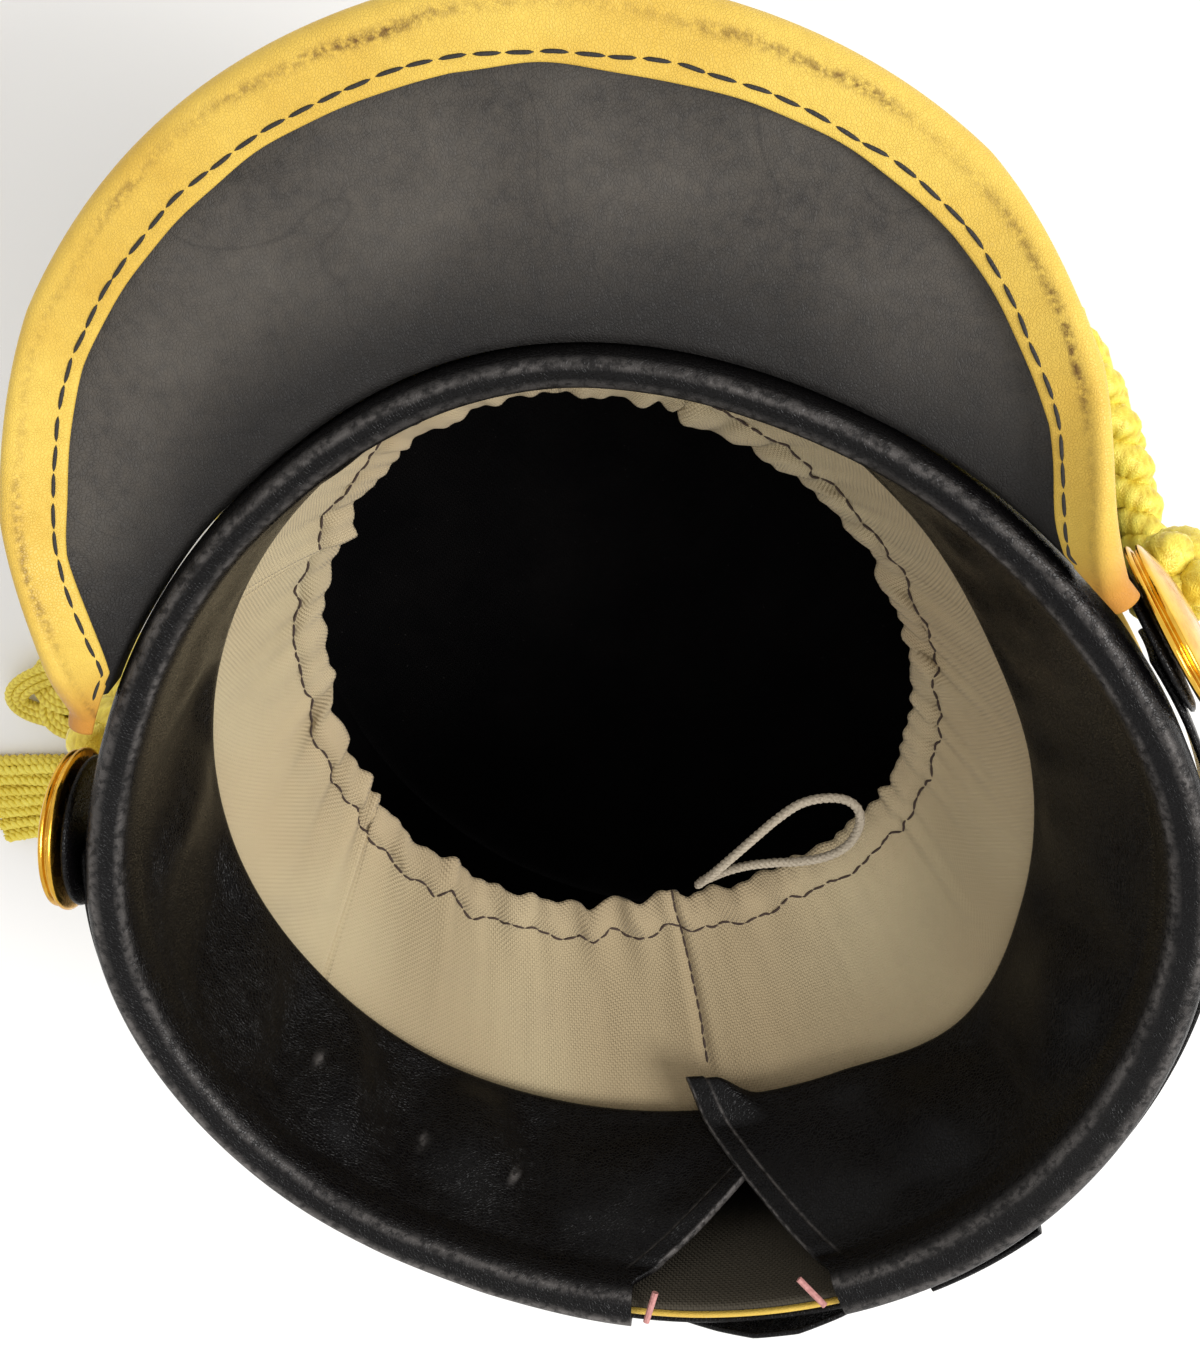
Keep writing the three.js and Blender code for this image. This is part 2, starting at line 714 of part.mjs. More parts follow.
add("drawstring", tube(asPoints(DRAWSTRING_ROUTE), DRAWSTRING_RADIUS, 8, 3), MATERIALS.cotton);

BUTTONS.forEach(({ side, bearing }) => {
  const washer = add(`washer_${side}`, washerSolid(), MATERIALS.blackVinyl);
  mountOnSide(washer, bearing, WASHER_STAND);
  const button = add(`button_${side}`, buttonSolid(), MATERIALS.goldMetal);
  mountOnSide(button, bearing, BUTTON_STAND);
});

add("chin_strap", chinStrap(), MATERIALS.blackVinyl);
add("strap_buckle", strip(BUCKLE_ROWS, 8), MATERIALS.blackVinyl);
add("strap_keeper", strip(KEEPER_ROWS, STRAP_WIDTH + 1.5), MATERIALS.blackVinyl);

const braidPoints = BRAID_ROUTE.map((row) => place(row.bearing, row.radius, row.height));
add("front_braid", tube(braidPoints, BRAID_RADIUS, 8, 9), MATERIALS.goldCord);
add("flounder_cord", tube(asPoints(FLOUNDER_ROUTE), CORD_RADIUS, 8, 6), MATERIALS.goldCord);
add("tassel_cord", tube(asPoints(TASSEL_ROUTE), CORD_RADIUS, 8, 6), MATERIALS.goldCord);
add("flounder", flounder(), MATERIALS.goldCord);
add("tassel_head", lyingRounds(HEAD_ROWS, TASSEL.x), MATERIALS.goldCord);
add("tassel_fringe", lyingRounds(FRINGE_ROWS, TASSEL.x + TASSEL.head + GAP), MATERIALS.goldCord);

export default hat;
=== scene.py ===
import bpy
import numpy as np
from mathutils import Matrix


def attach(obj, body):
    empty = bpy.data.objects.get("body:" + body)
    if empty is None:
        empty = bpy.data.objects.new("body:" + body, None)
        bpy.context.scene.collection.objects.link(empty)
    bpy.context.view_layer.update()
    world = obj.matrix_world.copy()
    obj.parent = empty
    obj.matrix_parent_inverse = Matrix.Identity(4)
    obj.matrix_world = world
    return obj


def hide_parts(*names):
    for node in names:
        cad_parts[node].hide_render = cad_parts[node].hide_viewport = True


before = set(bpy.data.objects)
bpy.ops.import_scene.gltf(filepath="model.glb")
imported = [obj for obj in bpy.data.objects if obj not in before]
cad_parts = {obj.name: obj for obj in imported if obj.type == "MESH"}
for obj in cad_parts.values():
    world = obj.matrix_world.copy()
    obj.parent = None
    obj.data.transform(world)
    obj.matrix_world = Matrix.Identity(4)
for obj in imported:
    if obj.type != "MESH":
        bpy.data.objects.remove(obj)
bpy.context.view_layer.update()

# ---- the camera ----
# It stands over the front of the upturned hat and looks down through the head opening to the crown.
camera_data = bpy.data.cameras.new("camera")
camera = bpy.data.objects.new("camera", camera_data)
bpy.context.scene.collection.objects.link(camera)
camera_data.sensor_width = 36
camera_data.lens = 48.07
camera_turn = Matrix((
    (-0.979, -0.115, -0.1685),
    (0.1768, -0.8903, -0.4197),
    (-0.1017, -0.4407, 0.8919),
)).to_quaternion()
camera.rotation_mode = "QUATERNION"
camera.rotation_quaternion = camera_turn
camera.location = (-0.0492, -0.1595, 0.3875)
bpy.context.scene.camera = camera


# ---- the front braid ----
# Three knitted gold cords plaited into one thick rope. It hangs from the left button, lies round the
# foot of the crown and goes up to the right button, with its flat side against the shell.
MM = 0.001  # shapes are worked out in millimetres and stored in metres
PLAIT_LENGTH = 29  # for one full turn of a strand
PLAIT_STEP = 0.6
BRAID_ROUTE = [  # bearing, radius, height
    (69, 100, 115), (73, 100.6, 98), (79, 101, 78), (85, 101.2, 58), (90, 101.2, 38), (91, 101, 23),
    (86, 100.8, 12), (77, 100.6, 8.6), (64, 100.6, 7.6), (50, 100.6, 7.4), (35, 100.6, 7.4),
    (18, 100.6, 7.4), (0, 100.6, 7.4), (-18, 100.6, 7.4), (-35, 100.6, 7.4), (-50, 100.6, 7.4),
    (-62, 100.6, 8), (-71, 100.6, 13), (-75, 101, 26), (-76, 101, 44), (-76, 100.8, 68),
    (-76, 100.4, 92), (-76, 100, 115),
]


def place(bearing, radius, height):
    """Points at a bearing from the front (degrees, positive to the wearer's left), a distance from the
    hat's axis, and a height."""
    angle = np.radians(bearing)
    return np.stack(np.broadcast_arrays(-radius * np.sin(angle), -radius * np.cos(angle), height), -1)


def unit(vectors):
    """The vectors at length one."""
    return vectors / np.maximum(np.linalg.norm(vectors, axis=-1, keepdims=True), 1e-12)


def smooth_route(points, spacing):
    """Even points along a curve through given ones: cubic Hermite pieces, each with the mean of its
    neighbours' chords as its slopes, then resampled by length."""
    p = np.asarray(points, float)
    before = np.concatenate([2 * p[:1] - p[1:2], p[:-2], p[-2:-1]])[:-1]
    after = np.concatenate([p[2:], 2 * p[-1:] - p[-2:-1]])
    start, end = p[:-1], p[1:]
    t = np.linspace(0, 1, 24, endpoint=False)[None, :, None]
    slope0, slope1 = (end - before)[:, None] / 2, (after - start)[:, None] / 2
    line = (
        start[:, None] * (2 * t**3 - 3 * t**2 + 1) + slope0 * (t**3 - 2 * t**2 + t)
        + end[:, None] * (3 * t**2 - 2 * t**3) + slope1 * (t**3 - t**2)
    ).reshape(-1, 3)
    return evenly(np.concatenate([line, p[-1:]]), spacing)


def evenly(line, spacing):
    """The line again, with its points an equal distance apart."""
    along = np.concatenate([[0], np.cumsum(np.linalg.norm(np.diff(line, axis=0), axis=1))])
    at = np.linspace(0, along[-1], max(3, int(round(along[-1] / spacing)) + 1))
    return np.stack([np.interp(at, along, line[:, k]) for k in range(3)], -1)


def length_of(line):
    """The length of a line, in its own units."""
    return float(np.linalg.norm(np.diff(line, axis=0), axis=1).sum())


def across(paths, towards):
    """The unit vectors along a path, across it as near as can be to `towards`, and square to both."""
    along = unit(np.gradient(paths, axis=-2))
    towards = np.broadcast_to(towards, paths.shape)
    first = unit(towards - (towards * along).sum(-1, keepdims=True) * along)
    return along, first, np.cross(along, first)


def tubes(paths, radius, sides, towards):
    """Rings round each path of a (strands, rings, 3) array: the path's point plus the radius times the
    cosine and sine of the ring's angle along the two vectors across the path."""
    _, first, second = across(paths, towards)
    angle = np.arange(sides) * 2 * np.pi / sides
    ring = np.cos(angle)[:, None] * first[..., None, :] + np.sin(angle)[:, None] * second[..., None, :]
    radius = np.asarray(radius, float)
    if radius.ndim < 3:
        radius = np.broadcast_to(radius, paths.shape[:2])[..., None]
    return paths[..., None, :] + radius[..., None] * ring


def tapered(rings, over):
    """A share per ring that rises from a tip to one over the first few rings, and falls again at the end."""
    i = np.arange(rings)
    near = np.minimum(np.minimum(i, rings - 1 - i) / over, 1)
    return np.sqrt(np.clip(1 - (1 - near) ** 2, 0.02, 1))


def skin(name, grids, closed=False):
    """A mesh object over (pieces, rings, sides, 3) points in millimetres: a quad between neighbours all
    round each ring, and a ladder of quads over each open end. `closed` joins the last ring to the first.
    If the solid's signed volume is negative, every face is turned."""
    pieces, rings, sides = grids.shape[:3]
    points = grids.reshape(-1, 3) * MM
    index = np.arange(pieces * rings * sides).reshape(pieces, rings, sides)
    here = index if closed else index[:, :-1]
    there = np.roll(index, -1, 1) if closed else index[:, 1:]
    quads = np.stack([here, np.roll(here, -1, 2), np.roll(there, -1, 2), there], -1).reshape(-1, 4)
    if not closed:
        i = np.arange(sides // 2 - 1)
        ladder = np.stack([i, i + 1, sides - 2 - i, sides - 1 - i], -1)
        start, end = index[:, 0][:, ladder], index[:, -1][:, ladder[:, ::-1]]
        quads = np.concatenate([quads, start.reshape(-1, 4)[:, ::-1], end.reshape(-1, 4)[:, ::-1]])
    a, b, c, d = (points[quads[:, k]] for k in range(4))
    volume = (a * (np.cross(b, c) + np.cross(c, d))).sum()
    if volume < 0:
        quads = quads[:, ::-1]
    mesh = bpy.data.meshes.new(name)
    mesh.vertices.add(len(points))
    mesh.vertices.foreach_set("co", points.astype(np.float32).ravel())
    mesh.loops.add(quads.size)
    mesh.loops.foreach_set("vertex_index", quads.astype(np.int32).ravel())
    mesh.polygons.add(len(quads))
    mesh.polygons.foreach_set("loop_start", np.arange(0, quads.size, 4, dtype=np.int32))
    mesh.update(calc_edges=True)
    mesh.validate()
    mesh.shade_smooth()
    piece = bpy.data.objects.new(name, mesh)
    bpy.context.scene.collection.objects.link(piece)
    return piece


def mark(piece, name, values):
    """Stores a number or a vector for each of a piece's points, for its material to read."""
    values = np.asarray(values, np.float32)
    kind, field = ("FLOAT_VECTOR", "vector") if values.ndim > 1 else ("FLOAT", "value")
    layer = piece.data.attributes.new(name, kind, "POINT")
    layer.data.foreach_set(field, values.ravel())


def finish_with(piece, material, slot, *nodes):
    """Gives a piece its material, fixes it to the hat, and hides the model's parts that it stands in for."""
    piece.data.materials.append(material)
    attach(piece, "root")
    if nodes:
        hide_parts(*nodes)
    return piece


def colour(red, green, blue):
    """A colour given as 0 to 255 display values, as the linear numbers that a shader takes."""
    display = np.array([red, green, blue]) / 255
    linear = np.where(display <= 0.04045, display / 12.92, ((display + 0.055) / 1.055) ** 2.4)
    return (*(float(x) for x in linear), 1.0)


def put(tree, kind, inputs=(), **settings):
    """Adds a shader node, sets its settings, and sets or links its inputs."""
    made = tree.nodes.new("ShaderNode" + kind)
    for key, value in settings.items():
        setattr(made, key, value)
    for key, value in dict(inputs).items():
        if isinstance(value, bpy.types.NodeSocket):
            tree.links.new(value, made.inputs[key])
        else:
            made.inputs[key].default_value = value
    return made


def new_material(name, **sockets):
    """A material with one Principled shader, and the numbers or colours that are the same all over it."""
    material = bpy.data.materials.new(name)
    material.use_nodes = True
    shader = material.node_tree.nodes["Principled BSDF"]
    for key, value in sockets.items():
        shader.inputs[key.replace("_", " ")].default_value = value
    return material, material.node_tree, shader


def new_group(name, inputs, outputs):
    """A shader node group with named sockets: its tree, its inputs and its outputs."""
    tree = bpy.data.node_groups.new(name, "ShaderNodeTree")
    for label, value in inputs.items():
        kind = "NodeSocketVector" if value is None else "NodeSocketFloat"
        socket = tree.interface.new_socket(label, in_out="INPUT", socket_type=kind)
        if value is not None:
            socket.default_value = value
    for label in outputs:
        tree.interface.new_socket(label, in_out="OUTPUT", socket_type="NodeSocketFloat")
    return tree, tree.nodes.new("NodeGroupInput").outputs, tree.nodes.new("NodeGroupOutput").inputs


def use(tree, group, inputs):
    """Places a node group in a material with its own values."""
    return put(tree, "Group", inputs, node_tree=group).outputs


def object_place(tree):
    """Where a shaded point is on the hat."""
    return put(tree, "TexCoord").outputs["Object"]


def marked(tree, name, kind="Fac"):
    """A number or a vector that was stored for each of a piece's points."""
    return put(tree, "Attribute", attribute_name=name).outputs[kind]


def noise(tree, where, scale, detail=1.0):
    """Smooth noise at a place."""
    return put(tree, "TexNoise", {"Vector": where, "Scale": scale, "Detail": detail}).outputs[0]


def math_node(tree, operation, *values):
    """One Math node's result."""
    return put(tree, "Math", dict(enumerate(values)), operation=operation).outputs[0]


def blend_colours(tree, share, first, second):
    """The mix of two colours, the second as far as the share says."""
    mix = put(tree, "Mix", {0: share, 6: first, 7: second}, data_type="RGBA")
    return mix.outputs[2]


def between(tree, value, low, high, low_out=0.0, high_out=1.0):
    """A value carried smoothly from one range to another."""
    inputs = {"Value": value, "From Min": low, "From Max": high, "To Min": low_out, "To Max": high_out}
    return put(tree, "MapRange", inputs, interpolation_type="SMOOTHSTEP").outputs[0]


def raise_surface(tree, shader, height, distance, strength=1.0):
    """Feeds a height, over a real distance in metres, to a shader's normal."""
    bump = put(tree, "Bump", {"Height": height, "Distance": distance, "Strength": strength})
    tree.links.new(bump.outputs[0], shader.inputs["Normal"])


def fibre(name, dark, pale, scale, detail=1.0, distance=0.0002, **sockets):
    """A material of thread or cord: two tones mixed, and the surface raised, by one fine noise."""
    material, tree, shader = new_material(name, **sockets)
    strands = noise(tree, object_place(tree), scale, detail)
    tree.links.new(blend_colours(tree, strands, dark, pale), shader.inputs["Base Color"])
    raise_surface(tree, shader, strands, distance)
    return material


# Mottling: slow, uneven change of tone that any used surface has.
mottle, given, out = new_group("mottle", {"Vector": None, "Size": 100.0, "Low": 0.35, "High": 0.7}, ["Share"])
cloud = put(mottle, "TexNoise", {"Vector": given[0], "Scale": given[1], "Detail": 3.0, "Roughness": 0.6})
spread = put(mottle, "MapRange", {"Value": cloud.outputs[0], "From Min": given[2], "From Max": given[3]})
mottle.links.new(spread.outputs[0], out[0])

# Gold cord: yellow metallic yarn, knitted or twisted, with shade painted in as a darker gold between its ribs
# and, on the fringe, near the floor.
gold_cord, tree, shader = new_material("gold_cord", Metallic=0.15, Specular_IOR_Level=0.6)
where = object_place(tree)
tarnish = use(tree, mottle, {"Vector": where, "Size": 190.0, "Low": 0.3, "High": 0.75})[0]
tint = blend_colours(tree, tarnish, colour(244, 228, 98), colour(232, 208, 66))
# Painted shade: each piece's stored mark takes the gold towards a darker tone far down between ribs, and on
# the fringe near the floor.
hollow = marked(tree, "hollow")
tree.links.new(blend_colours(tree, hollow, tint, colour(196, 166, 36)), shader.inputs["Base Color"])
fibres = noise(tree, where, 2600.0, 2.0)
tree.links.new(between(tree, fibres, 0.3, 0.7, 0.32, 0.6), shader.inputs["Roughness"])
raise_surface(tree, shader, fibres, 0.0002)


def knitted(paths, radius, sides, towards, rib, depth):
    """Tubes with a knitted face: the radius grows and shrinks along the cord in ribs that zigzag round
    it, and the second result says how far down between the ribs each point lies, for painted shade there."""
    steps = np.linalg.norm(np.diff(paths, axis=1), axis=-1)
    along = np.concatenate([np.zeros((len(paths), 1)), np.cumsum(steps, 1)], 1)[..., None]
    angle = np.arange(sides) * 2 * np.pi / sides
    ridge = np.cos(2 * np.pi * along / rib + 2.4 * np.cos(2 * angle))
    ends = tapered(paths.shape[1], 3)[None, :, None]
    return tubes(paths, radius * (1 + depth * ridge) * ends, sides, towards), (1 - ridge) ** 2 / 4


braid_rows = np.array(BRAID_ROUTE, float)
braid_path = smooth_route(place(braid_rows[:, 0], braid_rows[:, 1], braid_rows[:, 2]), PLAIT_STEP)
_, outward, sideways = across(braid_path, braid_path * (1, 1, 0))
phase = 2 * np.pi * (np.arange(len(braid_path)) * PLAIT_STEP / PLAIT_LENGTH + np.arange(3)[:, None] / 3)
plait = (
    braid_path
    + 4.2 * np.sin(phase)[..., None] * sideways
    + 2.4 * np.sin(2 * phase)[..., None] * outward
)
rings, hollows = knitted(plait, 3.8, 16, outward, 2.6, 0.06)
rings[..., 2] = np.maximum(rings[..., 2], 0.15)  # pressed flat where it lies on the surface
front_braid = skin("braid_strands", rings)
mark(front_braid, "hollow", hollows.ravel())
finish_with(front_braid, gold_cord, "gold_cord", "front_braid")

# ---- the knot and the tassel, each on its own thin cord ----
# Both cords leave the gold band behind the right button, hang down and run out over the surface. The
# flat oval knot is woven from one cord; the tassel has a wound head and a fringe of twisted bullion.
KNOT_CORD_ROUTE = [
    (95.5, 12.5, 117), (96.2, 10, 106), (97, 7, 94), (97.6, 5, 82), (98, 3.5, 70), (98.4, 2, 58),
    (98.8, 1, 46), (99.2, 0.5, 34), (99.8, 0.5, 22), (101, 1, 12), (103.5, 2, 5.5), (107, 3.6, 2.8),
    (111, 5.4, 2), (116.6, 7.6, 2), (122.8, 9.6, 2.2),
]
TASSEL_CORD_ROUTE = [
    (94.5, 17.5, 117), (95.4, 17, 106), (96, 16.6, 94), (96.4, 16.4, 82), (96.8, 16.4, 70),
    (97.2, 16.6, 58), (97.4, 17, 46), (97.6, 17.6, 34), (98, 18.6, 22), (98.8, 20.2, 12),
    (101, 22.8, 5.5), (104.4, 26, 2.8), (108.6, 29.4, 2), (113.6, 33.6, 2.4), (120.9, 37, 4.6),
]
KNOT = {"x": 148, "y": 10, "long": 48, "wide": 25, "thick": 6}
TASSEL = {"x": 122, "y": 37, "head": 14, "fringe": 58}


def twisted(path, offset, turn, plies, towards):
    """The paths of plies laid round one path: each a constant distance from it, at an angle that grows
    with the length along it."""
    _, first, second = across(path, towards)
    step = length_of(path) / (len(path) - 1)
    angle = 2 * np.pi * (np.arange(len(path)) * step / turn + np.arange(plies)[:, None] / plies)
    return path + offset * (np.cos(angle)[..., None] * first + np.sin(angle)[..., None] * second)


knot_t = np.linspace(0, 6 * np.pi, 900)
knot_reach = 1 + 0.44 * np.cos(4 * knot_t / 3)
knot_middle = np.stack([
    KNOT["x"] - KNOT["long"] / 2 * 0.64 * knot_reach * np.cos(knot_t),
    KNOT["y"] + KNOT["wide"] / 2 * 0.6 * knot_reach * np.sin(knot_t),
    0.5 * KNOT["thick"] + 0.5 + 1.5 * np.sin(8 * knot_t / 3),
], -1)
_, _, knot_side = across(knot_middle, (0, 0, 1))
knot_paths = np.stack([knot_middle + offset * knot_side for offset in (-1.9, 0, 1.9)])
rings, hollows = knitted(knot_paths, 1.1, 10, (0, 0, 1), 1.6, 0.09)
knot = skin("flounder_knot", rings)
mark(knot, "hollow", hollows.ravel())
finish_with(knot, gold_cord, "gold_cord", "flounder")

# The tassel's head is yarn wound round a core: a turned form, ribbed along its winding.
head_share = np.linspace(0, 1, 90)
head_radius = np.interp(head_share, [0, 0.06, 0.25, 0.6, 0.86, 0.93, 1], [1.6, 3.4, 6.1, 6.4, 5.2, 5.5, 4.4])
head_angle = np.arange(72) * 2 * np.pi / 72
winding = np.cos(34 * head_share[:, None] * np.pi + 2 * head_angle) * 0.28
head_ring = head_radius[:, None] + winding
head_height = 5.9
head = np.stack(np.broadcast_arrays(
    TASSEL["x"] + TASSEL["head"] * head_share[:, None],
    TASSEL["y"] + head_ring * np.cos(head_angle),
    np.maximum(head_height + 0.86 * head_ring * np.sin(head_angle), 0.3),
), -1)
tassel_head = skin("tassel_winding", head[None])
# Painted shade in the grooves of the winding.
mark(tassel_head, "hollow", ((0.28 - winding) / 0.56).ravel() ** 2)
finish_with(tassel_head, gold_cord, "gold_cord", "tassel_head")

# The fringe: each strand is two plies twisted hard, that leaves the head, droops to the surface and
# fans out.
FRINGE_STRANDS = 21
draw = np.random.default_rng(4)
fringe_paths = []
for strand in range(FRINGE_STRANDS):
    spread_at = (strand + draw.uniform(-0.4, 0.4)) / (FRINGE_STRANDS - 1) * 2 - 1
    layer = strand % 3
    wave = draw.uniform(-1.4, 1.4)
    reach = TASSEL["fringe"] * draw.uniform(0.9, 0.99)
    fringe_paths.append(smooth_route([
        (0, 4 * spread_at, 3.4 + 2.4 * layer),
        (0.2 * reach, 6.4 * spread_at + 0.4 * wave, 2.8 + 2.2 * layer),
        (0.45 * reach, 8.8 * spread_at + wave, 1.9 + 1.7 * layer),
        (0.75 * reach, 10.6 * spread_at, 1.4 + 1.1 * layer),
        (reach, 11.4 * spread_at + 0.6 * wave, 1.3 + 0.7 * layer),
    ], 0.8))
fringe_paths = [p + (TASSEL["x"] + TASSEL["head"] - 0.6, TASSEL["y"], 0) for p in fringe_paths]
fringe_rings = min(len(p) for p in fringe_paths)
plies = np.concatenate([twisted(p[:fringe_rings], 0.72, 3.8, 2, (0, 0, 1)) for p in fringe_paths])
ends = tapered(fringe_rings, 2)[None, :, None]
rings = tubes(plies, 0.74 * ends * np.ones((len(plies), 1, 8)), 8, (0, 0, 1))
rings[..., 2] = np.maximum(rings[..., 2], 0.1)
fringe = skin("tassel_bullion", rings)
# Painted shade: the fringe is painted darker the lower it lies, down to the floor.
low_painted_shade = np.clip(1 - rings[..., 2] / 6, 0, 1) ** 2
mark(fringe, "hollow", low_painted_shade.ravel())
finish_with(fringe, gold_cord, "gold_cord", "tassel_fringe")

for name, route, node, on_its_end in (
    ("knot_rope", KNOT_CORD_ROUTE, "flounder_cord", [knot]),
    ("tassel_rope", TASSEL_CORD_ROUTE, "tassel_cord", [tassel_head]),
):
    path = smooth_route(route, 0.7)
    rope = twisted(path, 0.8, 7.5, 2, (0, 0, 1) + 0.2 * unit(path))
    rings, hollows = knitted(rope, 0.86, 10, unit(path * (1, 1, 0)) + (0.3, 0, 0), 1.5, 0.08)
    piece = skin(name, rings)
    mark(piece, "hollow", hollows.ravel())
    finish_with(piece, gold_cord, "gold_cord", node)

# ---- the shell and the crown ----
# A stiff board cylinder covered with black cloth, closed by the flat crown that the hat stands on.
HEIGHT = 145
CROWN_RADIUS = 91
CROWN_THICK = 3
SHELL_THICK = 1.8
SHELL_INSET = 3.3
SHELL_DROP = 3
GAP = 0.4
RIM = (96.2, 92.4, 90.4, 92.8, 93, 93.2, 91, 88.5, 91, 92.9, 90.4, 92.4)  # every 30 degrees of bearing


def around(table, bearing):
    """The value at a bearing of a table that goes round the hat in equal steps: a cubic through it."""
    values = np.asarray(table, float)
    at = np.mod(bearing, 360) / (360 / len(values))
    i = np.floor(at).astype(int)
    t = at - i
    a, b, c, d = (values[(i + k) % len(values)] for k in (-1, 0, 1, 2))
    return b + 0.5 * t * (c - a + t * (2 * a - 5 * b + 4 * c - d + t * (3 * (b - c) + d - a)))


def rim(bearing):
    """The distance of the rim's outline from the axis."""
    return around(RIM, bearing)


def eased(x, low, high):
    """Zero below low, one above high, and a smooth S between."""
    t = np.clip((np.asarray(x, float) - low) / (high - low), 0, 1)
    return t * t * (3 - 2 * t)


def shell_radius(bearing, height):
    """The shell's outside: the round crown eases into the rim's outline with height."""
    share = eased(height, 0, HEIGHT)
    return CROWN_RADIUS * (1 - share) + (rim(bearing) - SHELL_INSET) * share


def wall_loop(line, thick):
    """The outline of a wall of even thickness along a (..., n, 2) line: both sides of the line, and a
    half circle of three points round each end."""
    along = unit(np.gradient(line, axis=-2))
    normal = np.stack([-along[..., 1], along[..., 0]], -1)
    half = thick / 2
    turn = np.radians([45, 90, 135])[:, None]
    last = half * (np.cos(turn) * normal[..., -1:, :] + np.sin(turn) * along[..., -1:, :])
    first = half * (np.cos(turn) * normal[..., :1, :] + np.sin(turn) * along[..., :1, :])
    sides = (line + half * normal, line[..., -1:, :] + last)
    back = ((line - half * normal)[..., ::-1, :], line[..., :1, :] - first)
    return np.roll(np.concatenate([*sides, *back], -2), 1, -2)


bearings = np.arange(0, 360, 1.0)
heights = np.linspace(CROWN_THICK + GAP + SHELL_THICK / 2, HEIGHT - SHELL_DROP - SHELL_THICK / 2, 48)
middle = np.stack(np.broadcast_arrays(
    shell_radius(bearings[:, None], heights) - SHELL_THICK / 2, heights), -1)
outline = wall_loop(middle, SHELL_THICK)
shell = skin("shell_cover", place(bearings[:, None], outline[..., 0], outline[..., 1])[None], closed=True)
cloth_way = np.stack(np.broadcast_arrays(
    np.radians(bearings)[:, None] * CROWN_RADIUS, outline[..., 1] + outline[..., 0] * 0.5, 0.0), -1)
mark(shell, "cloth", cloth_way.reshape(-1, 3))
inner_face = outline[..., 0] < shell_radius(bearings[:, None], outline[..., 1]) - SHELL_THICK / 2
mark(shell, "board", (inner_face * eased(outline[..., 1], HEIGHT - 34, HEIGHT - 20)).ravel())

# Plain weave: threads that cross over and under, from a place on the cloth in millimetres.
weave, given, out = new_group("weave", {"Vector": None, "Thread": 0.5}, ["Height", "Warp"])
way = put(weave, "SeparateXYZ", {0: given[0]})
turns = [
    math_node(weave, "SINE", math_node(weave, "DIVIDE", math_node(weave, "MULTIPLY", way.outputs[k], np.pi),
                                       given[1]))
    for k in (0, 1)
]
over = math_node(weave, "GREATER_THAN", math_node(weave, "MULTIPLY", *turns), 0.0)
rounded = [math_node(weave, "ABSOLUTE", turn) for turn in turns]
height = put(weave, "Mix", {0: over, 2: rounded[0], 3: rounded[1]}, data_type="FLOAT")
weave.links.new(height.outputs[0], out[0])
weave.links.new(over, out[1])


def black_cloth_with(name, coordinates, scale):
    """Black worsted over board: a fine plain weave, a little lint, and light rubbing. The board is bare
    and brownish grey inside, next to the rim."""
    material, tree, shader = new_material(name, Roughness=0.95, Specular_IOR_Level=0.1)
    if coordinates == "Object":
        where = object_place(tree)
    else:
        where = marked(tree, coordinates, "Vector")
    scaled = put(tree, "Mapping", {"Vector": where, "Scale": (scale, scale, scale)}).outputs[0]
    threads = use(tree, weave, {"Vector": scaled, "Thread": 0.55})
    rubbed = use(tree, mottle, {"Vector": scaled, "Size": 0.05, "Low": 0.4, "High": 0.75})[0]
    tone = blend_colours(tree, rubbed, colour(8, 7, 8), colour(17, 15, 15))
    board = marked(tree, "board")
    tone = blend_colours(tree, board, tone, colour(66, 61, 52))
    lint = noise(tree, scaled, 1.1, 1.0)
    tree.links.new(
        blend_colours(tree, between(tree, lint, 0.74, 0.82, 0.0, 0.25), tone, colour(80, 76, 74)),
        shader.inputs["Base Color"])
    raise_surface(tree, shader, threads[0], 0.00012)
    return material


shell_cloth = black_cloth_with("shell_cloth", "cloth", 1.0)
crown_cloth = black_cloth_with("crown_cloth", "Object", 1000.0)
finish_with(shell, shell_cloth, "black_cloth", "shell_wall")
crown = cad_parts["crown_top"].data
crown.materials.clear()
crown.materials.append(crown_cloth)

# ---- the gold band round the outside of the shell's edge ----
# A strip of grained gold vinyl over the lower edge of the shell, under the visor and the strap.
BAND_THICK = 1
BAND_HEIGHT = 30
band_heights = np.linspace(HEIGHT - SHELL_DROP - BAND_HEIGHT + BAND_THICK / 2,
                           HEIGHT - SHELL_DROP - BAND_THICK / 2, 16)
middle = np.stack(np.broadcast_arrays(
    shell_radius(bearings[:, None], band_heights) + GAP + BAND_THICK / 2, band_heights), -1)
outline = wall_loop(middle, BAND_THICK)
band = skin("gold_band", place(bearings[:, None], outline[..., 0], outline[..., 1])[None], closed=True)

# Grain: the rounded cells and pores of leather or embossed vinyl.
grain, given, out = new_group("grain", {"Vector": None, "Cells": 900.0, "Creases": 0.4}, ["Height", "Pores"])
warp = put(grain, "TexNoise", {"Vector": given[0], "Scale": 260.0, "Detail": 1.0})
SHIFT = (0.0016, 0.0016, 0.0016)
shifted = put(grain, "VectorMath", {0: warp.outputs["Color"], 1: SHIFT}, operation="MULTIPLY")
moved = put(grain, "VectorMath", {0: given[0], 1: shifted.outputs[0]}, operation="ADD").outputs[0]
cells = put(grain, "TexVoronoi", {"Vector": moved, "Scale": given[1]}, feature="DISTANCE_TO_EDGE").outputs[0]
pores = put(grain, "MapRange", {"Value": cells, "From Min": 0.0, "From Max": 0.16}).outputs[0]
fine = noise(grain, given[0], 1500.0)
creased = put(grain, "TexNoise", {"Vector": given[0], "Scale": 70.0, "Detail": 2.0, "Distortion": 1.2})
off_middle = math_node(grain, "SUBTRACT", creased.outputs[0], 0.5)
crease = math_node(grain, "MULTIPLY", math_node(grain, "ABSOLUTE", off_middle), given[2])
half_fine = math_node(grain, "MULTIPLY", fine, 0.5)
total = math_node(grain, "ADD", math_node(grain, "ADD", pores, crease), half_fine)
grain.links.new(total, out[0])
grain.links.new(pores, out[1])

